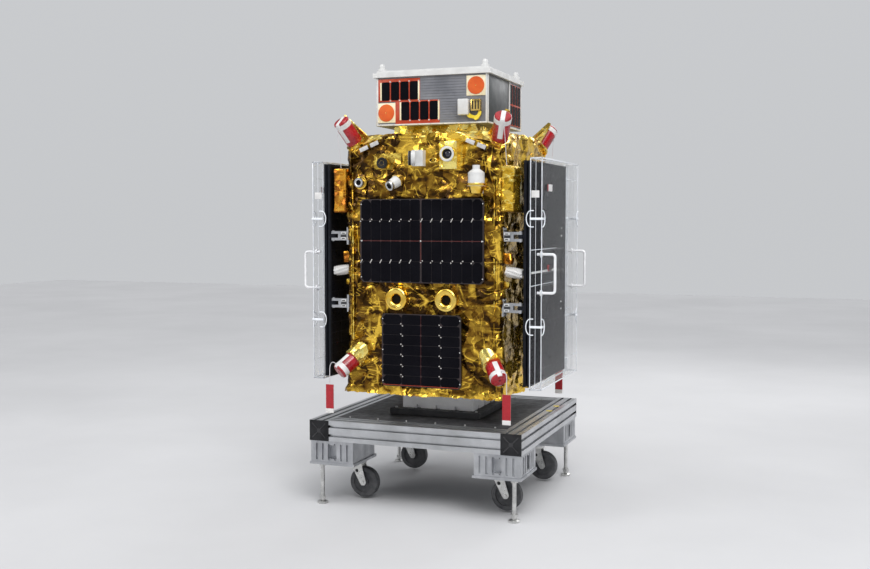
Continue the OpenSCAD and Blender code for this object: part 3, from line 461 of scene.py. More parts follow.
class Shape:
    """Solids gathered with their materials, which become one object."""

    def __init__(self):
        self.verts, self.faces, self.skins, self.mats = [], [], [], []

    def take(self, bm, mat, place=Matrix.Identity(4)):
        start = len(self.verts)
        flip = place.determinant() < 0
        bm.verts.index_update()
        self.verts += [place @ v.co for v in bm.verts]
        if mat not in self.mats:
            self.mats.append(mat)
        for f in bm.faces:
            ring = [start + v.index for v in f.verts]
            self.faces.append(ring[::-1] if flip else ring)
            self.skins.append(self.mats.index(mat))
        bm.free()
        return self

    def box(self, lo, hi, mat, bevel=0.0008, place=Matrix.Identity(4), segments=2):
        lo, hi = Vector(lo), Vector(hi)
        size = hi - lo
        bm = bmesh.new()
        bmesh.ops.create_cube(bm, size=1,
                              matrix=Matrix.Translation((lo + hi) / 2) @ Matrix.Diagonal((*size, 1)))
        bevel = min(bevel, 0.4 * min(abs(c) for c in size))
        bmesh.ops.bevel(bm, geom=bm.edges[:], offset=bevel, segments=segments, profile=0.5, affect="EDGES")
        return self.take(bm, mat, place)

    def lathe(self, profile, place, mat, sides=40):
        """profile is (radius, height) pairs round the place's Z; radius 0 closes an end."""
        bm = bmesh.new()
        rings = []
        for r, h in profile:
            if r <= 1e-9:
                rings.append([bm.verts.new((0, 0, h))])
            else:
                turn = [2 * math.pi * k / sides for k in range(sides)]
                rings.append([bm.verts.new((r * math.cos(t), r * math.sin(t), h)) for t in turn])
        for a, b in zip(rings, rings[1:]):
            for k in range(sides):
                j = (k + 1) % sides
                if len(a) == 1 and len(b) == 1:
                    continue
                if len(a) == 1:
                    bm.faces.new((a[0], b[k], b[j]))
                elif len(b) == 1:
                    bm.faces.new((a[k], b[0], a[j]))
                else:
                    bm.faces.new((a[k], b[k], b[j], a[j]))
        bmesh.ops.recalc_face_normals(bm, faces=bm.faces[:])
        return self.take(bm, mat, place)

    def prism(self, outline, low, high, place, mat, bevel=0.0004):
        bm = bmesh.new()
        base = bm.faces.new([bm.verts.new((x, y, low)) for x, y in outline])
        top = bmesh.ops.extrude_face_region(bm, geom=[base])
        bmesh.ops.translate(bm, vec=(0, 0, high - low),
                            verts=[v for v in top["geom"] if isinstance(v, bmesh.types.BMVert)])
        bmesh.ops.recalc_face_normals(bm, faces=bm.faces[:])
        if bevel:
            bmesh.ops.bevel(bm, geom=bm.edges[:], offset=bevel, segments=1, profile=0.5, affect="EDGES")
        return self.take(bm, mat, place)

    def tube(self, points, radius, mat, sides=10, place=Matrix.Identity(4), closed=False):
        bm = bmesh.new()
        points = [Vector(p) for p in points]
        rings, side = [], Vector((0.3, 0.5, 0.81))
        n = len(points)
        for i, p in enumerate(points):
            ahead = points[(i + 1) % n] if closed else points[min(n - 1, i + 1)]
            behind = points[i - 1] if closed else points[max(0, i - 1)]
            along = (ahead - behind).normalized()
            side = (side - side.dot(along) * along).normalized()
            other = along.cross(side)
            turn = [2 * math.pi * k / sides for k in range(sides)]
            rings.append([bm.verts.new(p + radius * (math.cos(t) * side + math.sin(t) * other)) for t in turn])
        for a, b in zip(rings, rings[1:] + (rings[:1] if closed else [])):
            for k in range(sides):
                bm.faces.new((a[k], a[(k + 1) % sides], b[(k + 1) % sides], b[k]))
        if not closed:
            bm.faces.new(rings[0][::-1])
            bm.faces.new(rings[-1])
        bmesh.ops.recalc_face_normals(bm, faces=bm.faces[:])
        return self.take(bm, mat, place)

    def make(self, name, body=ROOT, slot=None, angle=32):
        mesh = bpy.data.meshes.new(name)
        mesh.from_pydata(self.verts, [], self.faces)
        for mat in self.mats:
            mesh.materials.append(mat)
        mesh.polygons.foreach_set("material_index", self.skins)
        mesh.polygons.foreach_set("use_smooth", [True] * len(self.faces))
        mesh.set_sharp_from_angle(angle=math.radians(angle))
        mesh.update()
        obj = bpy.data.objects.new(name, mesh)
        bpy.context.collection.objects.link(obj)
        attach(obj, body)
        return obj


def bolt(shape, place, r, mat, height=0.6):
    """A cap screw's head with its socket, standing on the place's XY plane."""
    h = r * height * 2
    shape.lathe([(r, 0), (r, h * 0.8), (r * 0.86, h), (r * 0.45, h), (r * 0.4, h * 0.45), (0, h * 0.45)],
                place, mat, 16)


# ---------------------------------------------------------------- foil


FACETS = [  # spacing, stretch of the cells and how steeply they tilt
    (0.095, (1.0, 1.0, 0.6), 0.12),
    (0.044, (0.55, 0.55, 1.25), 0.15),
]
LIFT_MAX = 0.008


def facet_height(p, size, stretch, steep, seed):
    """A polyhedral surface: every cell is a plane with its own tilt, blended only near its edges."""
    q = Vector([c * k / size for c, k in zip(p, stretch)]) + Vector((seed, seed * 1.7, -seed))
    far, points = noise.voronoi(q)
    total = weight = 0.0
    for d, c in list(zip(far, points))[:3]:
        w = math.exp(-((d / 0.16) ** 2) + (far[0] / 0.16) ** 2)
        tilt = noise.cell_vector(c * 7.3 + Vector((0.5, 0.5, 0.5))) - Vector((0.5, 0.5, 0.5))
        total += w * (tilt.dot(q - c) * size * steep * 2)
        weight += w
    return total / weight


def crumple(p, amount=1.0, seed=0.0):
    """How far the foil stands out at p: broad pillows under tilted facets."""
    bend = Vector(noise.noise_vector(p * 7 + Vector((seed, 0, 0)))) * 0.018
    lift = 0.0020 + 0.0014 * noise.noise(p / 0.22 + Vector((0, seed, 0)))
    for k, (size, stretch, steep) in enumerate(FACETS):
        lift += facet_height(p + bend, size, stretch, steep, seed + 3 * k)
    return amount * min(LIFT_MAX, max(-0.0022, lift))


def cut_corners(p, lift):
    """Folds what lies beyond a cut corner back onto its plane."""
    for sx, sy in CORNERS:
        n = Vector((sx * UP_AXIS.x, sy * UP_AXIS.y, UP_AXIS.z)).normalized()
        beyond = (p - Vector((sx * UP_BASE.x, sy * UP_BASE.y, UP_BASE.z))).dot(n) - lift
        if beyond > 0:
            p = p - n * beyond
    return p


def add_glint(obj, painted_highlight=None):
    """Stores a painted glint for each point of a foil piece: how brightly it shines, from the tilt of its creases,
    which becomes painted light and painted shade in the foil's colour.
    """
    mesh = obj.data
    values = []
    for v, normal in zip(mesh.vertices, mesh.vertex_normals):
        n = normal.vector
        side = n.x * math.copysign(1, -n.y) if abs(n.y) > abs(n.x) else n.y
        # painted light and shade: brighter where a facet faces up and towards one side, darker where it faces down
        glint = 0.33 + 0.85 * n.z * (1 - 0.76 * max(0, n.z)) + 0.28 * side
        values.append(glint + (painted_highlight(v.co) if painted_highlight else 0.0))
    mesh.attributes.new("glint", "FLOAT", "POINT").data.foreach_set("value", values)


def grid_object(name, rows, mat, painted_highlight=None, angle=25):
    """A one-sided sheet through rows of points."""
    bm = bmesh.new()
    made = [[bm.verts.new(p) for p in row] for row in rows]
    for a, b in zip(made, made[1:]):
        for k in range(len(a) - 1):
            bm.faces.new((a[k], a[k + 1], b[k + 1], b[k]))
    obj = Shape().take(bm, mat).make(name, angle=angle)
    add_glint(obj, painted_highlight)
    return obj


def painted_foil_highlights(p):
    """Painted highlights on the foil: a bright ragged hem, bright foil round the camera and along the top and side
    edges, and painted light on the side walls.
    """
    near = noise.noise(p * 14) + 0.4 * noise.noise(p * 55)
    painted_highlight = 0.55 * max(0.0, 1 - (p.z - BUS_LOW) / 0.016) * (0.6 + near)
    if p.y < 0:
        painted_highlight += 0.35 * max(0.0, 1 - max(abs(p.x - 0.055) / 0.16, abs(p.z - 1.405) / 0.11) ** 4)
        low = max(0.0, 1 - abs(p.z - 1.235) / 0.045) * max(0.0, 0.55 + near)
        painted_highlight += 0.22 * low
    # painted light on the side walls, which face the dark wings
    if abs(p.x) > SKIN - 0.008 and abs(p.y) < SKIN - 0.02:
        painted_highlight += 0.32
    return painted_highlight + 0.16 * max(0.0, 1 - (SKIN + 0.004 - abs(p.x)) / 0.03) + 0.10 * near


STEP = 0.0075  # spacing of the foil grids
WRAP_R = 0.018  # how tightly the front and rear sheets roll round the corners
WALL_ROWS = 134


def wall_columns(half, wrap):
    """Points and outward directions along a front wall at y = -half, rolled round both corners."""
    columns = []
    inner = half - WRAP_R
    count = 6
    start = [(-half, -inner + wrap * (1 - i / 3)) for i in range(3)]
    columns += [(x, y, -1.0, 0.0) for x, y in start]
    for i in range(count + 1):
        t = math.pi + 0.5 * math.pi * i / count
        c, s = math.cos(t), math.sin(t)
        columns.append((-inner + WRAP_R * c, -inner + WRAP_R * s, c, s))
    steps = round(2 * inner / STEP)
    columns += [(-inner + 2 * inner * i / steps, -half, 0.0, -1.0) for i in range(1, steps)]
    return columns + [(-x, y, -nx, ny) for x, y, nx, ny in reversed(columns[: count + 4])]


def foil_wall(name, node, turn, half, wrap, seed):
    """One blanket of the body: a crumpled sheet with a ragged lower hem, turned to its side."""
    place = Matrix.Rotation(turn, 4, "Z")
    rows = []
    levels = [BUS_LOW - 0.004 + (BUS_TOP + 0.004 - BUS_LOW) * i / WALL_ROWS for i in range(WALL_ROWS + 1)]
    for z in levels:
        row = []
        for x, y, nx, ny in wall_columns(half, wrap):
            p = place @ Vector((x, y, z))
            out = place.to_3x3() @ Vector((nx, ny, 0))
            near_hem = max(0.0, 1 - (z - BUS_LOW + 0.004) / 0.030)
            lift = crumple(p, 1.0 + 1.6 * near_hem, seed)
            corner = max(0.0, 1 - (half - abs(x)) / 0.05)
            lift += 0.0020 * corner * (0.6 + noise.noise(Vector((seed, x * 3, z * 14))))
            lift += 0.004 * near_hem
            p = p + out * lift
            p.z += near_hem * 0.005 * noise.noise(Vector((p.x * 60, p.y * 60, seed)))
            row.append(cut_corners(p, 0.0015 + 0.5 * crumple(p, 1.0, seed)))
        rows.append(row)
    obj = grid_object(name, rows, M["foil"], painted_foil_highlights)
    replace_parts(obj, node)
    return obj


def foil_top():
    half, roll = SKIN + 0.001, 0.014
    inner = half - roll

    def rolled(t):
        if abs(t) <= inner:
            return t, 0.0
        a = (abs(t) - inner) / roll
        if a <= math.pi / 2:
            return math.copysign(inner + roll * math.sin(a), t), roll * (1 - math.cos(a))
        return math.copysign(half, t), roll + (a - math.pi / 2) * roll

    reach = inner + roll * math.pi / 2 + 0.006
    count = 92
    rows = []
    for j in range(count + 1):
        y, drop_y = rolled(-reach + 2 * reach * j / count)
        row = []
        for i in range(count + 1):
            x, drop_x = rolled(-reach + 2 * reach * i / count)
            p = Vector((x, y, BUS_TOP - max(drop_x, drop_y)))
            out = Vector((math.copysign(min(1, drop_x / roll), x), math.copysign(min(1, drop_y / roll), y),
                          1)).normalized()
            p = p + out * crumple(p, 1.1, 5.0)
            row.append(cut_corners(p, 0.0030 + 0.6 * crumple(p, 1.0, 5.0)))
        rows.append(row)
    obj = grid_object("top_foil", rows, M["amber"])
    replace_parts(obj, "top_blanket")


def foil_box(shape, lo, hi, mat, seed, step=0.009, amount=0.5, round_r=0.006, place=Matrix.Identity(4)):
    """A box wrapped in foil: rounded edges and crumpled faces."""
    lo, hi = Vector(lo), Vector(hi)
    size = hi - lo
    bm = bmesh.new()
    bmesh.ops.create_cube(bm, size=1, matrix=Matrix.Translation((lo + hi) / 2) @ Matrix.Diagonal((*size, 1)))
    cuts = [max(1, round(c / step)) for c in size]
    for axis in range(3):
        edges = [e for e in bm.edges if abs(abs((e.verts[1].co - e.verts[0].co).normalized()[axis]) - 1) < 1e-3]
        bmesh.ops.subdivide_edges(bm, edges=edges, cuts=cuts[axis] - 1,
                                  use_grid_fill=True) if cuts[axis] > 1 else None
    mid = (lo + hi) / 2
    for v in bm.verts:
        core = Vector([min(max(c, a + round_r), b - round_r) for c, a, b in zip(v.co, lo, hi)])
        out = v.co - core
        if out.length > 1e-7:
            v.co = core + out.normalized() * min(round_r, out.length)
        away = (v.co - core).normalized() if (v.co - core).length > 1e-7 else (v.co - mid).normalized()
        v.co = v.co + away * (crumple(v.co, amount, seed) - 0.001)
    bmesh.ops.recalc_face_normals(bm, faces=bm.faces[:])
    return shape.take(bm, mat, place)


def foil_pieces():
    foil_wall("front_foil", "front_blanket", 0.0, SKIN + 0.0015, 0.012, 1.0)
    foil_wall("rear_foil", "rear_blanket", math.pi, SKIN + 0.0015, 0.012, 2.0)
    foil_wall("right_foil", "right_blanket", math.pi / 2, SKIN, 0.0, 3.0)
    foil_wall("left_foil", "left_blanket", -math.pi / 2, SKIN, 0.0, 4.0)
    foil_top()
    boxes = Shape()
    for k, (sx, sy) in enumerate(CORNERS):
        mat = M["orange"] if sx < 0 else M["amber"]
        lo, hi = (0.3165, 0.2015, 1.1425), (0.3705, 0.3285, 1.3155)
        foil_box(boxes, lo, hi, mat, 20.0 + k, place=mirror(sx, sy))
    flank = boxes.make("flank_foil_boxes", slot="amber_foil", angle=25)
    add_glint(flank)
    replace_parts(flank, "flank_boxes")
    tabs = Shape()
    for sx in (1, -1):
        place = mirror(sx)
        foil_box(tabs, (0.312, -0.292, 0.946), (0.348, -0.264, 0.992), M["orange"], 31.0 + sx, 0.006, 0.5,
                 0.006, place)
        foil_box(tabs, (0.312, -0.290, 0.858), (0.338, -0.268, 0.882), M["amber"], 35.0 + sx, 0.006, 0.4,
                 0.006, place)
        foil_box(tabs, (0.2875, -SKIN - 0.0085, 0.64), (0.2930, -SKIN, 1.30), M["amber"], 39.0 + sx, 0.006,
                 0.3, 0.002, place)
    add_glint(tabs.make("foil_tabs", slot="amber_foil", angle=25))


foil_pieces()

# ---------------------------------------------------------------- solar panels


def cell_outline(w, h, crop):
    """A cell with its corners cut, centred."""
    a, b = w / 2, h / 2
    return [(-a + crop, -b), (a - crop, -b), (a, -b + crop), (a, b - crop), (a - crop, b), (-a + crop, b),
            (-a, b - crop), (-a, -b + crop)]


def front_place(x, z, y):
    """A frame on the front: X right, Y up, Z towards the viewer."""
    return Matrix.Translation((x, y, z)) @ Matrix.Rotation(math.pi / 2, 4, "X")


def contact_mark(shape, place, paired, lean):
    """The metal link between two cells: a slanted bar, or a pair of small tabs."""
    turn = place @ Matrix.Rotation(math.radians(60 * lean), 4, "Z")
    if paired:
        for k in (-1, 1):
            spot = place @ Matrix.Translation((0.0034 * k, 0.0036 * k * lean, 0))
            spot = spot @ Matrix.Rotation(math.radians(45), 4, "Z")
            shape.box((-0.0021, -0.0021, 0), (0.0021, 0.0021, 0.0012), M["contact"], 0.0003, spot)
    else:
        shape.box((-0.0082, -0.0016, 0), (0.0082, 0.0016, 0.0012), M["contact"], 0.0003, turn)


CELL_GAP, CELL_CROP, CORNER_CROP = 0.0011, 0.0045, 0.0115


def front_panel(name, node_box, columns, rows, gap, marks_on_rows):
    """Cells, contacts and screws on a front solar panel's face."""
    (x0, y0, z0), (x1, _, z1) = node_box
    face = y0
    shape = Shape()
    usable_w, usable_h = x1 - x0 - 0.010 - gap, z1 - z0 - 0.006
    pw, ph = usable_w / columns, usable_h / rows
    mid = (x0 + x1) / 2
    xs = [mid - usable_w / 2 - gap / 2 + pw * (i + 0.5) + (gap if i >= columns / 2 else 0)
          for i in range(columns)]
    zs = [z0 + 0.003 + ph * (j + 0.5) for j in range(rows)]
    for x in xs:
        for z in zs:
            outline = cell_outline(pw - CELL_GAP, ph - CELL_GAP, CELL_CROP)
            if (abs(x - mid) > usable_w / 2 + gap / 2 - pw) and (z < zs[1] - ph / 2 or z > zs[-2] + ph / 2):
                outline = cell_outline(pw - CELL_GAP, ph - CELL_GAP, CORNER_CROP)
            mat = M["cell"] if marks_on_rows else M["cell_side"]
            shape.prism(outline, 0.0, 0.0006, front_place(x, z, face), mat, 0.0)
    for i, x in enumerate(xs):
        for j, z in enumerate(zs):
            left, low = x - pw / 2, z - ph / 2
            if marks_on_rows and j in (1, 3):
                paired = (x < mid) == (j == 3)
                contact_mark(shape, front_place(left, low, face), paired, 1)
            if not marks_on_rows and i in (1, 3) and j:
                contact_mark(shape, front_place(left, low, face), True, -1)
    if marks_on_rows:
        shape.box((x0 + 0.006, face - 0.0008, (z0 + z1) / 2 - 0.0013),
                  (x1 - 0.006, face + 0.0002, (z0 + z1) / 2 + 0.0013), M["cell_red"], 0.0002)
        shape.box((mid - 0.0016, face - 0.0008, zs[0] + ph / 2),
                  (mid + 0.0016, face + 0.0002, zs[-1] - ph / 2), M["cell_red"], 0.0002)
        for x in (x0 + 0.007, mid, x1 - 0.007):
            bolt(shape, front_place(x, (z0 + z1) / 2, face - 0.0006), 0.0028, M["white"], 0.35)
    else:
        shape.box((x0 + 0.006, face - 0.0008, z0 + 0.0045), (x1 - 0.010, face + 0.0002, z0 + 0.0060),
                  M["frame_red"], 0.0002)
        shape.box((mid - 0.0006, face - 0.0008, z0 + 0.006), (mid + 0.0006, face + 0.0002, z1 - 0.006),
                  M["cell_red"], 0.0002)
    for sx in (-1, 1):
        for z in (z0 + 0.020, (z0 + z1) / 2, z1 - 0.020):
            bolt(shape, front_place(mid + sx * (x1 - x0 - 0.009) / 2, z, face), 0.0022, M["white"], 0.35)
    return shape.make(name, slot="solar_cells", angle=20)


front_panel("upper_panel_cells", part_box("upper_front_solar_panel"), 12, 4, 0.006, True)
front_panel("lower_panel_cells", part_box("lower_front_solar_panel"), 4, 7, 0.0, False)

# ---------------------------------------------------------------- front instruments


def trumpet(shape, x, z):
    """A rolled gold rim round a stepped throat, closed by a near-black bottom that is painted shade for the
    throat's depth.
    """
    place = front_place(x, z, -SKIN)
    flare = [(0.0452, 0.0), (0.0456, 0.014)]
    flare += [(0.0350 + 0.0108 * math.cos(t),
               0.0185 + 0.0108 * math.sin(t)) for t in [math.pi * k / 14 for k in range(15)]]
    shape.lathe(flare + [(0.0240, 0.0150)], place, M["gold_rim"], 64)
    shape.lathe([(0.0240, 0.0150), (0.0228, 0.0172), (0.0216, 0.0172), (0.0208, 0.0140)], place, M["gold"],
                64)
    shape.lathe([(0.0208, 0.0140), (0.0200, 0.0118), (0, 0.0112)], place, M["hole"], 64)
    for k in range(8):
        t = 2 * math.pi * (k + 0.5) / 8
        spot = place @ Matrix.Translation((0.0478 * math.cos(t), 0.0478 * math.sin(t), 0.0015))
        bolt(shape, spot, 0.0018, M["gold"], 0.35)


def ringed_camera(shape):
    place = front_place(0.112, 1.362, -0.339)
    shape.lathe([(0.0285, 0.0), (0.0288, 0.0135), (0.0275, 0.0150), (0.0215, 0.0150), (0.0200, 0.0140),
                 (0.0190, 0.0060)], place, M["white"], 56)
    shape.lathe([(0.0190, 0.0060), (0.0180, 0.0105), (0.0165, 0.0105), (0.0160, 0.0050), (0.0125, 0.0045)],
                place, M["cap"], 56)
    shape.lathe([(0.0125, 0.0045), (0.0100, 0.0062), (0.0060, 0.0076), (0, 0.0080)], place, M["dark"], 56)
    for sx in (-1, 1):
        for sz in (-1, 1):
            bolt(shape, front_place(0.112 + sx * 0.031, 1.358 + sz * 0.048, -0.3392), 0.0018, M["steel"],
                 0.4)


def port_and_sensors(shape):
    place = front_place(-0.158, 1.333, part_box("service_port")[0][1])
    shape.lathe([(0.0214, -0.004), (0.0216, 0.0012), (0.0195, 0.0022), (0.0168, 0.0022), (0.0160, 0.0012)],
                place, M["cap"], 48)
    shape.lathe([(0.0160, 0.0012), (0.0150, 0.0006), (0, 0.0006)], place, M["cap"], 48)
    for k in range(9):
        t = 2 * math.pi * k / 9
        spot = place @ Matrix.Translation((0.0095 * math.cos(t), 0.0095 * math.sin(t), 0.0008))
        shape.lathe([(0.0011, 0), (0.0011, 0.0016), (0, 0.0019)], spot, M["gold"], 10)
    turn = Matrix.Translation((-0.018, -SKIN - 0.030,
                               1.349)) @ Matrix.Rotation(math.radians(20), 4,
                                                         "Z") @ Matrix.Rotation(-math.pi / 2, 4, "Y")
    shape.lathe([(0.0272, 0.002), (0.0274, 0.0150), (0.0270, 0.0158)], turn, M["white"], 48)
    shape.lathe([(0.0270, 0.0158), (0.0278, 0.0164), (0.0278, 0.0245), (0.0262, 0.0266), (0.0235, 0.0268)],
                turn, M["cap"], 48)
    shape.lathe([(0.0235, 0.0266), (0.0205, 0.0268), (0.0190, 0.0262), (0.0168, 0.0240), (0.0160, 0.0100),
                 (0, 0.0090)], turn, M["cap"], 48)
    shape.lathe([(0.0120, 0.0092), (0.0110, 0.0118), (0.0060, 0.0140), (0, 0.0145)], turn, M["dark"], 32)
    nozzle = Matrix.Translation((-0.102, -SKIN,
                                 1.266)) @ Matrix.Rotation(math.radians(-24), 4,
                                                           "Z") @ Matrix.Rotation(math.radians(116), 4, "X")
    shape.lathe([(0.0176, 0.040), (0.0192, 0.0405), (0.0196, 0.0500), (0.0182, 0.0528), (0.0150, 0.0530),
                 (0.0122, 0.0520)], nozzle, M["steel"], 40)
    # the throat is closed by a black cone: painted shade for the inside of the nozzle
    shape.lathe([(0.0121, 0.0520), (0.0112, 0.0440), (0, 0.0410)], nozzle, M["cap"], 40)
    shape.lathe([(0.0268, -0.010), (0.0276, 0.004), (0.0270, 0.008), (0.0240, 0.0084)], nozzle, M["gold"],
                40)
    ring = front_place(-0.257, 1.259, -SKIN)
    shape.lathe([(0.0180, 0.006), (0.0196, 0.010), (0.0196, 0.0225), (0.0180, 0.0268), (0.0140, 0.0270),
                 (0.0112, 0.0250)], ring, M["steel"], 44)
    # the throat is closed by a black cone: painted shade for the inside of the nozzle
    shape.lathe([(0.0112, 0.0250), (0.0100, 0.0150), (0, 0.0130)], ring, M["cap"], 44)
    shape.lathe([(0.0250, 0.001), (0.0250, 0.0060), (0.0230, 0.0072), (0.0180, 0.0074)], ring,
                M["gold_rim"], 44)
    for k in range(2):
        for x, z in ((0.196, 1.4075), (-0.196, 1.4075)):
            s = math.copysign(1, x)
            spot = front_place(x + s * 0.044 * k, z - 0.0175 * k,
                               -SKIN - 0.011) @ Matrix.Rotation(-s * math.radians(21.7), 4, "Z")
            shape.box((-0.018, -0.008, 0), (0.018, 0.008, 0.0012), M["label"], 0.0006, spot)
    oval = front_place(0.044, 1.341, -SKIN - 0.0065) @ Matrix.Diagonal((1.7, 1, 1, 1))
    shape.lathe([(0.0104, -0.006), (0.0102, 0.0006), (0.0088, 0.0022), (0.0074, 0.0014)], oval,
                M["gold_rim"], 40)
    # the oval recess ends in a near-black disc: painted shade
    shape.lathe([(0.0074, 0.0014), (0.0068, -0.0004), (0, -0.0008)], oval, M["hole"], 40)
    cup = Matrix.Translation((0.229, -SKIN - 0.038, 1.214))
    shape.lathe([(0.0215, -0.001), (0.0228, 0.0005), (0.0318, 0.0252), (0.0330, 0.0262), (0.0352, 0.0268),
                 (0.0356, 0.0350), (0.0340, 0.0372)], cup, M["gold_rim"], 48)


instruments = Shape()
for x in (-0.102, 0.102):
    trumpet(instruments, x, 0.810)
ringed_camera(instruments)
port_and_sensors(instruments)
instruments.make("instrument_faces", slot="white_paint")

# ---------------------------------------------------------------- upper satellite

MODULE_W, MODULE_D, MODULE_Z = 0.230, 0.222, (1.484, 1.673)


def strip_of_cells(shape, x0, z0, count, w, h, frame_to, place):
    """A framed strip of upright cells with pale separators; place maps X right, Y up, Z out."""
    lo, hi = frame_to
    shape.box((lo[0], lo[1], -0.0005), (hi[0], hi[1], 0.0024), M["frame_red"], 0.0006, place)
    for i in range(count):
        x = x0 + w * (i + 0.5)
        spot = place @ Matrix.Translation((x, z0 + h / 2, 0))
        shape.prism(cell_outline(w - 0.0050, h - 0.004, 0.0045), 0.0024, 0.0031, spot, M["cell"], 0.0)
        for sz in (-1, 1):
            tab = spot @ Matrix.Translation((w / 2, sz * (h / 2 - 0.001), 0))
            tab = tab @ Matrix.Rotation(math.radians(45), 4, "Z")
            shape.box((-0.0026, -0.0026, 0.0024), (0.0026, 0.0026, 0.0034), M["contact"], 0.0003, tab)
    for i in range(count + 1):
        x = x0 + w * i
        width = 0.0032 if i in (0, count) else 0.0009
        shape.box((x - width, z0 + 0.003, 0.0022), (x + width, z0 + h - 0.003, 0.0032),
                  M["cream"] if width > 0.002 else M["frame_red"], 0.0003, place)


def patch_antenna(shape, x, z, square, place, ground):
    spot = place @ Matrix.Translation((x, z, 0))
    shape.box((-square, -square, -0.0005), (square, square, 0.0030), ground, 0.001, spot)
    shape.lathe([(0.0338, 0.0030), (0.0338, 0.0048), (0.0322, 0.0056), (0.0300, 0.0058), (0, 0.0060)], spot,
                M["orange_patch"], 56)
    shape.lathe([(0.0020, 0.0060), (0.0020, 0.0068), (0, 0.0072)], spot, M["gold"], 14)


def louvres(shape, lo, hi, place, mat, pitch=0.0095):
    """Overlapping horizontal slats."""
    count = int((hi[1] - lo[1]) / pitch)
    for i in range(count):
        z = lo[1] + (hi[1] - lo[1]) * i / count
        outline = [(0.0, 0.0), (0.0022, 0.0), (0.0004, pitch + 0.0015), (0.0, pitch + 0.0015)]
        turn = place @ Matrix.Translation((lo[0], z, 0))
        turn = turn @ Matrix(((0, 0, 1, 0), (0, 1, 0, 0), (1, 0, 0, 0), (0, 0, 0, 1)))
        shape.prism([(a, b) for a, b in outline], 0.0, hi[0] - lo[0], turn, mat, 0.0002)


def module_face(shape, turn, with_units):
    """The front or rear face: cell strips, patches, slats and trims."""
    place = turn @ front_place(0, 0, -MODULE_D)
    low, high = MODULE_Z
    louvres(shape, (-0.050, 1.583), (0.146, 1.668), place, M["grey"])
    louvres(shape, (0.033, 1.492), (0.146, 1.581), place, M["grey"])
    strip_of_cells(shape, -0.211, 1.581, 4, 0.040, 0.076, ((-0.228, 1.578), (-0.046, 1.667)), place)
    strip_of_cells(shape, -0.128, 1.502, 4, 0.040, 0.076, ((-0.150, 1.488), (0.036, 1.580)), place)
    patch_antenna(shape, -0.188, 1.535, 0.0385, place, M["cream"])
    patch_antenna(shape, 0.184, 1.628, 0.0385, place, M["cream"])
    for x in (-0.226, 0.2262):
        shape.box((x - 0.0035, low + 0.002, -0.001), (x + 0.0035, high - 0.001, 0.0036), M["white"], 0.0008,
                  place)
    shape.box((-0.229, low + 0.0005, -0.001), (0.229, low + 0.0065, 0.0040), M["white"], 0.0008, place)
    for i in range(9):
        bolt(shape, place @ Matrix.Translation((-0.21 + i * 0.0525, low + 0.0035, 0.004)), 0.0014,
             M["steel"], 0.4)
    if with_units:
        white_unit(shape, place)


def white_unit(shape, place):
    """White box, slotted gold piece and its forked bracket."""
    shape.box((0.1165, 1.5155, 0.0), (0.1595, 1.5765, 0.0266), M["white"], 0.004, place, 3)
    shape.box((0.1680, 1.5300, 0.0), (0.2060, 1.5740, 0.0200), M["gold"], 0.0015, place)
    for i in range(3):
        shape.box((0.1735 + i * 0.0115, 1.536, 0.0195), (0.1785 + i * 0.0115, 1.568, 0.0206), M["cap"],
                  0.0006, place)
    fork = [(0.150, 1.512), (0.160, 1.504), (0.176, 1.502), (0.184, 1.494), (0.196, 1.500), (0.206, 1.516),
            (0.208, 1.528),
            (0.198, 1.530), (0.192, 1.516), (0.182, 1.512), (0.170, 1.516), (0.160, 1.522), (0.148, 1.520)]
    shape.prism(fork, 0.004, 0.012, place, M["yellow"], 0.001)


def module_side(shape, sx):
    """A side face: dark field, red-framed strip, pale bar and rear trim."""
    turn = mirror(sx)
    place = turn @ Matrix.Translation((MODULE_W, 0, 0))
    place = place @ Matrix.Rotation(math.pi / 2, 4, "Z") @ Matrix.Rotation(math.pi / 2, 4, "X")
    low, high = MODULE_Z
    shape.box((-0.219, low + 0.004, -0.001), (0.050, high - 0.002, 0.0016), M["side_grey"], 0.0005, place)
    shape.box((0.052, low + 0.008, -0.001), (0.0585, high - 0.004, 0.0052), M["white"], 0.001, place)
    shape.box((0.2145, low + 0.001, -0.001), (0.2215, high - 0.001, 0.0044), M["white"], 0.001, place)
    shape.box((-0.2215, low + 0.001, -0.001), (-0.2165, high - 0.001, 0.0034), M["white"], 0.001, place)
    shape.box((0.0600, 1.4985, -0.001), (0.2140, 1.6645, 0.0024), M["frame_red"], 0.0006, place)
    for i in range(4):
        for j in range(2):
            spot = place @ Matrix.Translation((0.0800 + i * 0.0383, 1.5400 + j * 0.0830, 0))
            shape.prism(cell_outline(0.0330, 0.0770, 0.0045), 0.0024, 0.0031, spot, M["cell_side"], 0.0)
    shape.box((-0.219, low + 0.0005, -0.001), (0.219, low + 0.0065, 0.0040), M["white"], 0.0008, place)


module = Shape()
module_face(module, Matrix.Identity(4), True)
module_face(module, Matrix.Rotation(math.pi, 4, "Z"), False)
for sx in (1, -1):
    module_side(module, sx)
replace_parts(module.make("upper_module_faces", slot="solar_cells"), "upper_module_cells",
            "upper_module_fittings")


def lid_trim():
    """Screws and domed caps on the lid."""
    shape = Shape()
    for sx, sy in CORNERS:
        x, y = sx * 0.214, sy * 0.206
        place = Matrix.Translation((x, y, 1.700))
        dome = [(0.0150, 0.0), (0.0150, 0.0035), (0.0120, 0.0060), (0.0105, 0.0150), (0.0098, 0.0230),
                (0.0070, 0.0275), (0, 0.0290)]
        shape.lathe(dome, place, M["white"], 32)
    for i in range(8):
        for sy in (-1, 1):
            bolt(shape, Matrix.Translation((-0.16 + i * 0.0457, sy * 0.212, 1.6998)), 0.0020, M["steel"],
                 0.4)
            bolt(shape, Matrix.Translation((sy * 0.220, -0.15 + i * 0.0429, 1.6998)), 0.0020, M["steel"],
                 0.4)
    shape.make("lid_trim", slot="white_paint")


lid_trim()

# ---------------------------------------------------------------- thruster caps


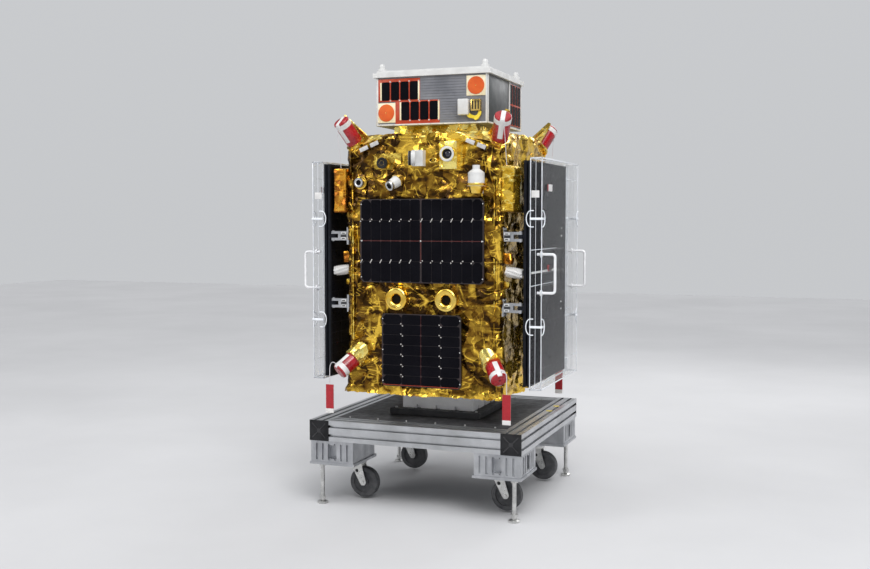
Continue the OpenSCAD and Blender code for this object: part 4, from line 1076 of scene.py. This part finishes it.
def dress_cap(shape, end, axis, side, reach, painted_end_highlight=False):
    """White tape, end disc and lip on a red cap; reach is how far the tape runs back. A white strip across the end
    disc is a painted highlight.
    """
    place = aimed(end, axis, side)
    r = CAP_R
    shape.lathe([(r, -0.0085), (r + 0.0010, -0.0085), (r + 0.0011, -0.0150), (r + 0.0003, -0.0280),
                 (r, -0.0280)], place, M["tape"], 56)
    for turn in (0.0, math.pi):
        half = 0.30
        bm = bmesh.new()
        rows = []
        for i in range(9):
            t = turn - half + 2 * half * i / 8
            rows.append([bm.verts.new((rad * math.cos(t), rad * math.sin(t), z)) for rad, z in
                         ((r - 0.006, 0.0008), (r - 0.0022, -0.0006), (r + 0.0006, -0.0055),
                          (r + 0.0013, -0.0120), (r + 0.0014, -0.030), (r + 0.0009, -reach))])
        for a, b in zip(rows, rows[1:]):
            for k in range(5):
                bm.faces.new((a[k], b[k], b[k + 1], a[k + 1]))
        shape.take(bm, M["tape"], place)
    shape.lathe([(0.0240, 0.0001), (0.0236, 0.0009), (0.0050, 0.0011), (0.0042, -0.0012), (0, -0.0014)],
                place, M["red"], 48)
    shape.lathe([(0.0038, -0.0014), (0.0036, 0.0004), (0, 0.0006)], place, M["cap"], 20)
    # white strip across the end disc: painted highlight where the end faces up into the lights
    if painted_end_highlight:
        shape.box((-0.0262, -0.0085, 0.0006), (0.0262, 0.0085, 0.0017), M["tape"], 0.0004, place)


caps = Shape()
for sx, sy in CORNERS:
    axis = Vector((sx * UP_AXIS.x, sy * UP_AXIS.y, UP_AXIS.z)).normalized()
    end = Vector((sx * UP_BASE.x, sy * UP_BASE.y, UP_BASE.z)) + axis * (CAP_SEAT + CAP_L)
    dress_cap(caps, end, axis, (sx * 0.3, sy, 0), 0.085, True)
    axis = Vector((sx * LOW_AXIS.x, sy * LOW_AXIS.y, LOW_AXIS.z)).normalized()
    end = Vector((sx * LOW_END.x, sy * LOW_END.y, LOW_END.z))
    dress_cap(caps, end, axis, (0.2 * sx, sy * 0.6, 1), 0.070)
caps.make("cap_tapes", slot="tape_white")

# ---------------------------------------------------------------- wings and covers


def wing_cells(side, sx):
    """Cells on both faces of a wing's panels, seen when it is unfolded."""
    for part, face, out in (("outer", 0.424, 1), ("inner", 0.398, -1)):
        shape = Shape()
        place = mirror(sx) @ Matrix.Translation((face, 0, 0))
        place = place @ Matrix.Rotation(math.pi / 2, 4, "Z") @ Matrix.Rotation(math.pi / 2, 4, "X")
        if out < 0:
            place = place @ Matrix.Rotation(math.pi, 4, "Y")
        for i in range(6):
            for j in range(20):
                y, z = -0.259 + i * 0.0836 + 0.0090, 0.4985 + 0.0205 + j * 0.0414
                y = y if out > 0 else -y
                if part == "outer" and abs(y + 0.054) < 0.055 and abs(z - 0.926) < 0.035:
                    continue
                spot = place @ Matrix.Translation((y, z, 0))
                shape.prism(cell_outline(0.0800, 0.0398, 0.0045), 0.0, 0.00022, spot, M["wing_cell"], 0.0)
        shape.make(f"{side}_wing_{part}_cells", f"{side}_wing_{part}", "solar_cells", 20)


def c_clip(shape, y, z, sy, place):
    """A clear clamp: a bar over the cover's corner with a loop on the rim and one on the outer wall."""
    turns = [math.radians(-90 + 180 * k / 14) for k in range(15)]
    rim = [(0.4290 - 0.0175 * math.cos(t), y + sy * 0.0030, z + 0.030 * math.sin(t)) for t in turns]
    wall = [(0.4722, y - sy * (0.004 + 0.032 * math.cos(t)), z + 0.030 * math.sin(t)) for t in turns]
    shape.tube([(0.4400, y + sy * 0.0030, z - 0.030), *rim, (0.4400, y + sy * 0.0030, z + 0.030)], 0.0020,
               M["edge"], 8, place)
    shape.tube(wall, 0.0020, M["edge"], 8, place)
    near, far = sorted((y + sy * 0.0042, y))
    shape.box((0.4245, near, z - 0.0045), (0.4735, far, z + 0.0045), M["edge"], 0.0015, place)
    near, far = sorted((y, y - sy * 0.026))
    shape.box((0.4702, near, z - 0.0045), (0.4735, far, z + 0.0045), M["edge"], 0.0012, place)


def cover_trim(side, sx):
    """Bright sawn edges, corner blocks, ribs, clips, screws and blank labels of a clear cover."""
    shape = Shape()
    place = mirror(sx)
    edge = M["edge"]
    x0, x1, y0, y1, z0, z1 = 0.4243, 0.4703, -0.313, 0.259, 0.481, 1.345
    t = 0.0026
    for y in (y0, y1):
        s = 1 if y < 0 else -1
        for x, w in ((x1, t), (x0 + t, t), (0.447, 0.0010)):
            shape.box((x - w, min(y, y + s * 2 * w), z0), (x + 0.0002, max(y, y + s * 2 * w), z1), edge,
                      0.0006, place)
        for z in (z0, z1):
            u = 1 if z < 1 else -1
            shape.box((x0, min(y, y + s * 2 * t), min(z, z + u * 2 * t)),
                      (x1, max(y, y + s * 2 * t), max(z, z + u * 2 * t)), edge, 0.0006, place)
            shape.box((x0 + 0.003, min(y + s * 0.005, y + s * 0.022), min(z + u * 0.005, z + u * 0.020)),
                      (x1 - 0.005, max(y + s * 0.005, y + s * 0.022), max(z + u * 0.005, z + u * 0.020)),
                      M["clear"], 0.002, place)
            for x in (x0 + 0.010, x1 - 0.010):
                spot = place @ Matrix.Translation((x, y + s * 0.0135,
                                                   z)) @ Matrix.Rotation(0 if u < 0 else math.pi, 4, "X")
                bolt(shape, spot, 0.0024, M["white"], 0.3)
    for z in (z0, z1):
        u = 1 if z < 1 else -1
        for x in (x1, x0 + t):
            shape.box((x - t, y0, min(z, z + u * 2 * t)), (x + 0.0002, y1, max(z, z + u * 2 * t)), edge,
                      0.0006, place)
    for z in (1.278, 1.122, 0.731, 0.557):
        shape.box((x1 - 0.0085, -0.292, z - 0.0018), (x1 - 0.0052, 0.238, z + 0.0018), M["clear"], 0.0006,
                  place)
        for ya, yb in ((0.075, 0.150), (0.205, 0.254)):
            shape.box((x1 - 0.0087, ya, z - 0.0022), (x1 - 0.0050, yb, z + 0.0022), edge, 0.0006, place)
    shape.box((x1 - 0.0080, 0.082, z0 + 0.020), (x1 - 0.0052, 0.108, z1 - 0.020), M["clear"], 0.0008, place)
    for y in (0.082, 0.108):
        shape.box((x1 - 0.0082, y - 0.0007, z0 + 0.020), (x1 - 0.0051, y + 0.0007, z1 - 0.020), edge,
                  0.0002, place)
    for y in (0.095, -0.020):
        for z in (1.082, 1.052, 0.794, 0.766):
            turn = place @ Matrix.Translation((x1 - 0.0002, y, z)) @ Matrix.Rotation(math.pi / 2, 4, "Y")
            bolt(shape, turn, 0.0035, M["white"], 0.2)
    for z in (1.119, 0.718):
        for y, sy in ((y0, -1), (y1, 1)):
            c_clip(shape, y, z, sy, place)
    shape.box((x1 - 0.0002, -0.222, 1.222), (x1 + 0.0008, -0.166, 1.248), M["tape"], 0.0004, place)
    shape.box((x1 - 0.0001, -0.234, 1.222), (x1 + 0.0008, -0.222, 1.248), M["red"], 0.0004, place)
    shape.box((0.430, y0 - 0.0008, 1.197), (0.4600, y0 + 0.0002, 1.223), M["tape"], 0.0004, place)
    shape.make(f"{side}_cover_trim", f"{side}_cover", "clear_acrylic")


def wing_fittings(side, sx):
    """The hold-down's red knob, the pale tie bar and the stiffener on the outer panel."""
    shape = Shape()
    place = mirror(sx)
    knob = place @ Matrix.Translation((0.4375, -0.054, 0.926)) @ Matrix.Rotation(math.pi / 2, 4, "Y")
    shape.lathe([(0.0132, -0.012), (0.0136, -0.006), (0.0120, 0.0), (0.0060, 0.0006), (0.0056, 0.0003),
                 (0, 0.0003)], knob, M["red"], 28)
    shape.box((0.4242, -0.295, 0.9130), (0.4272, 0.082, 0.9210), M["white"], 0.001, place)
    shape.box((0.4242, -0.295, 0.8660), (0.4252, 0.082, 0.8690), M["edge"], 0.0004, place)
    shape.box((0.4242, -0.295, 1.0010), (0.4252, 0.082, 1.0040), M["edge"], 0.0004, place)
    shape.make(f"{side}_wing_fittings", f"{side}_wing_outer", "cap_red")


for side, sx in SIDES.items():
    wing_cells(side, sx)
    wing_fittings(side, sx)
    cover_trim(side, sx)

def harness():
    """Cable bundles between body and wings, each of strands wound with overlapping white tape."""
    shape = Shape()
    for sx in (1, -1):
        place = mirror(sx)
        for k in range(6):
            t = 2 * math.pi * k / 6
            strand = []
            for i in range(17):
                u = i / 16
                twist = t + 0.9 * u
                swell = 0.0105 + 0.0022 * math.sin(math.pi * u) + 0.0010 * noise.noise(Vector((k * 3.1, u * 6, sx)))
                strand.append((0.3165 + 0.0715 * u, -0.279 + swell * math.cos(twist),
                               0.9215 - 0.010 * u + swell * math.sin(twist)))
            shape.tube(strand, 0.0058, M["tape"], 10, place)
        for i in range(9):
            u = (i + 0.5) / 9
            mid = Vector((0.3165 + 0.0715 * u, -0.279, 0.9215 - 0.010 * u))
            loop = []
            for j in range(28):
                t = 2 * math.pi * j / 28
                r = 0.0166 + 0.0012 * math.sin(math.pi * u) + 0.0006 * noise.noise(Vector((i * 2.3, j * 0.6, 1)))
                loop.append(mid + Vector((0.0075 * math.sin(t + 0.4), r * math.cos(t), r * math.sin(t))))
            shape.tube(loop, 0.0021, M["tape"], 6, place, closed=True)
    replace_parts(shape.make("harness_tape", slot="tape_white", angle=50), "harness_wraps")


harness()

def root_fittings():
    """Pale connector blocks and screws on the wings' root brackets."""
    shape = Shape()
    (_, y0, z0), (_, _, z1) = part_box("wing_root_brackets")
    for sx in (1, -1):
        place = mirror(sx)
        for z in (z0 + 0.034, z1 - 0.034):
            for lift in (-0.0150, 0.0060):
                shape.box((SKIN + 0.011, y0 - 0.0045, z + lift),
                          (SKIN + 0.031, y0 + 0.0005, z + lift + 0.0090), M["white"], 0.0014, place)
                shape.box((SKIN + 0.0145, y0 - 0.0050, z + lift + 0.0025),
                          (SKIN + 0.0275, y0 - 0.0040, z + lift + 0.0065), M["cap"], 0.0004, place)
            shape.box((SKIN + 0.010, y0 - 0.0020, z - 0.0050), (SKIN + 0.034, y0 + 0.0005, z + 0.0050),
                      M["plate"], 0.0008, place)
            for lift in (-0.0275, 0.0275):
                for y in (y0 + 0.008, y0 + 0.026):
                    spot = place @ Matrix.Translation((SKIN + 0.008, y,
                                                       z + lift)) @ Matrix.Rotation(math.pi / 2, 4, "Y")
                    bolt(shape, spot, 0.0028, M["steel"], 0.5)
    shape.make("root_fittings", slot="white_paint")


root_fittings()

# ---------------------------------------------------------------- trolley details


def trolley_details():
    shape = Shape()
    for sx, sy in CORNERS:
        place = Matrix.Translation((sx * 0.390, sy * 0.430,
                                    0.295)) @ Matrix.Rotation(-sy * math.pi / 2, 4, "X")
        for turn in (45, -45):
            spot = place @ Matrix.Rotation(math.radians(turn), 4, "Z")
            shape.box((-0.040, -0.0022, 0), (0.040, 0.0022, 0.0011), M["plate"], 0.0005, spot)
        shape.lathe([(0.0085, 0), (0.0085, 0.0012), (0.0060, 0.0015), (0, 0.0015)], place, M["plate"], 24)
    for sx, sy in CORNERS:
        for dx, dy in ((-0.030, 0.030), (0.030, -0.150), (-0.150, 0.030)):
            at = (sx * (0.365 + dx * 0.5), sy * (0.365 + dy * 0.5), 0.1614)
            spot = Matrix.Translation(at) @ Matrix.Rotation(math.pi, 4, "X")
            bolt(shape, spot, 0.0065, M["zinc"], 0.5)
    for x in (-0.17, 0.17):
        for y in (-0.17, 0.17):
            bolt(shape, Matrix.Translation((x, y, 0.357)), 0.0055, M["zinc"], 0.5)
    for i in range(6):
        for sy in (-1, 1):
            bolt(shape, Matrix.Translation((-0.30 + 0.12 * i, sy * 0.335, 0.3350)), 0.0040, M["zinc"], 0.45)
    for y in (0.08, 0.20):
        shape.box((0.384, y, 0.3346), (0.408, y + 0.020, 0.3357), M["yellow"], 0.0004)
    shape.make("trolley_fasteners", slot="zinc_steel")


trolley_details()

# ---------------------------------------------------------------- studio


def add_studio():
    floor = Shape()
    bm = bmesh.new()
    bmesh.ops.create_grid(bm, x_segments=1, y_segments=1, size=12)
    floor.take(bm, worn("studio_floor", (0.56, 0.56, 0.57), (0.60, 0.60, 0.61), 0.8, 0.0, 0.8, 200, 0.00002,
                        Specular_IOR_Level=0.1))
    mesh = bpy.data.meshes.new("studio_floor")
    mesh.from_pydata(floor.verts, [], floor.faces)
    mesh.materials.append(floor.mats[0])
    obj = bpy.data.objects.new("studio_floor", mesh)
    bpy.context.collection.objects.link(obj)
    world = bpy.data.worlds.new("studio_world")
    world.use_nodes = True
    tree = world.node_tree
    back = tree.nodes["Background"]
    back.inputs["Strength"].default_value = 1.0
    split = tree.nodes.new("ShaderNodeSeparateXYZ")
    tree.links.new(tree.nodes.new("ShaderNodeTexCoord").outputs["Generated"], split.inputs[0])
    sky = tree.nodes.new("ShaderNodeValToRGB")
    stops = ((0.0, 0.58), (0.24, 0.60), (0.34, 0.12), (0.60, 0.08), (0.74, 0.70), (1.0, 1.0))
    while len(sky.color_ramp.elements) < len(stops):
        sky.color_ramp.elements.new(0.5)
    for mark, (at, value) in zip(sky.color_ramp.elements, stops):
        mark.position, mark.color = at, (value * 0.98, value, value * 1.03, 1)
    tree.links.new(split.outputs["Z"], sky.inputs[0])
    tree.links.new(sky.outputs[0], back.inputs["Color"])
    bpy.context.scene.view_settings.view_transform = "Standard"
    bpy.context.scene.world = world
    for name, at, size, power in (
        ("key_light", (2.2, -3.2, 3.8), 1.6, 70),
        ("fill_light", (-3.0, -2.8, 3.0), 1.6, 40),
        ("rim_light", (1.0, 3.6, 3.2), 1.8, 50),
    ):
        data = bpy.data.lights.new(name, "AREA")
        data.size, data.energy = size, power
        lamp = bpy.data.objects.new(name, data)
        lamp.matrix_world = aimed(at, Vector(at) - Vector((0, 0, 0.9)), (0, 0, 1))
        bpy.context.collection.objects.link(lamp)
    sun = bpy.data.lights.new("sky_light", "SUN")
    sun.energy, sun.angle = 1.5, math.radians(50)
    lamp = bpy.data.objects.new("sky_light", sun)
    lamp.matrix_world = aimed((0, 0, 5), (0.35, -0.55, 1.0))
    bpy.context.collection.objects.link(lamp)


add_studio()
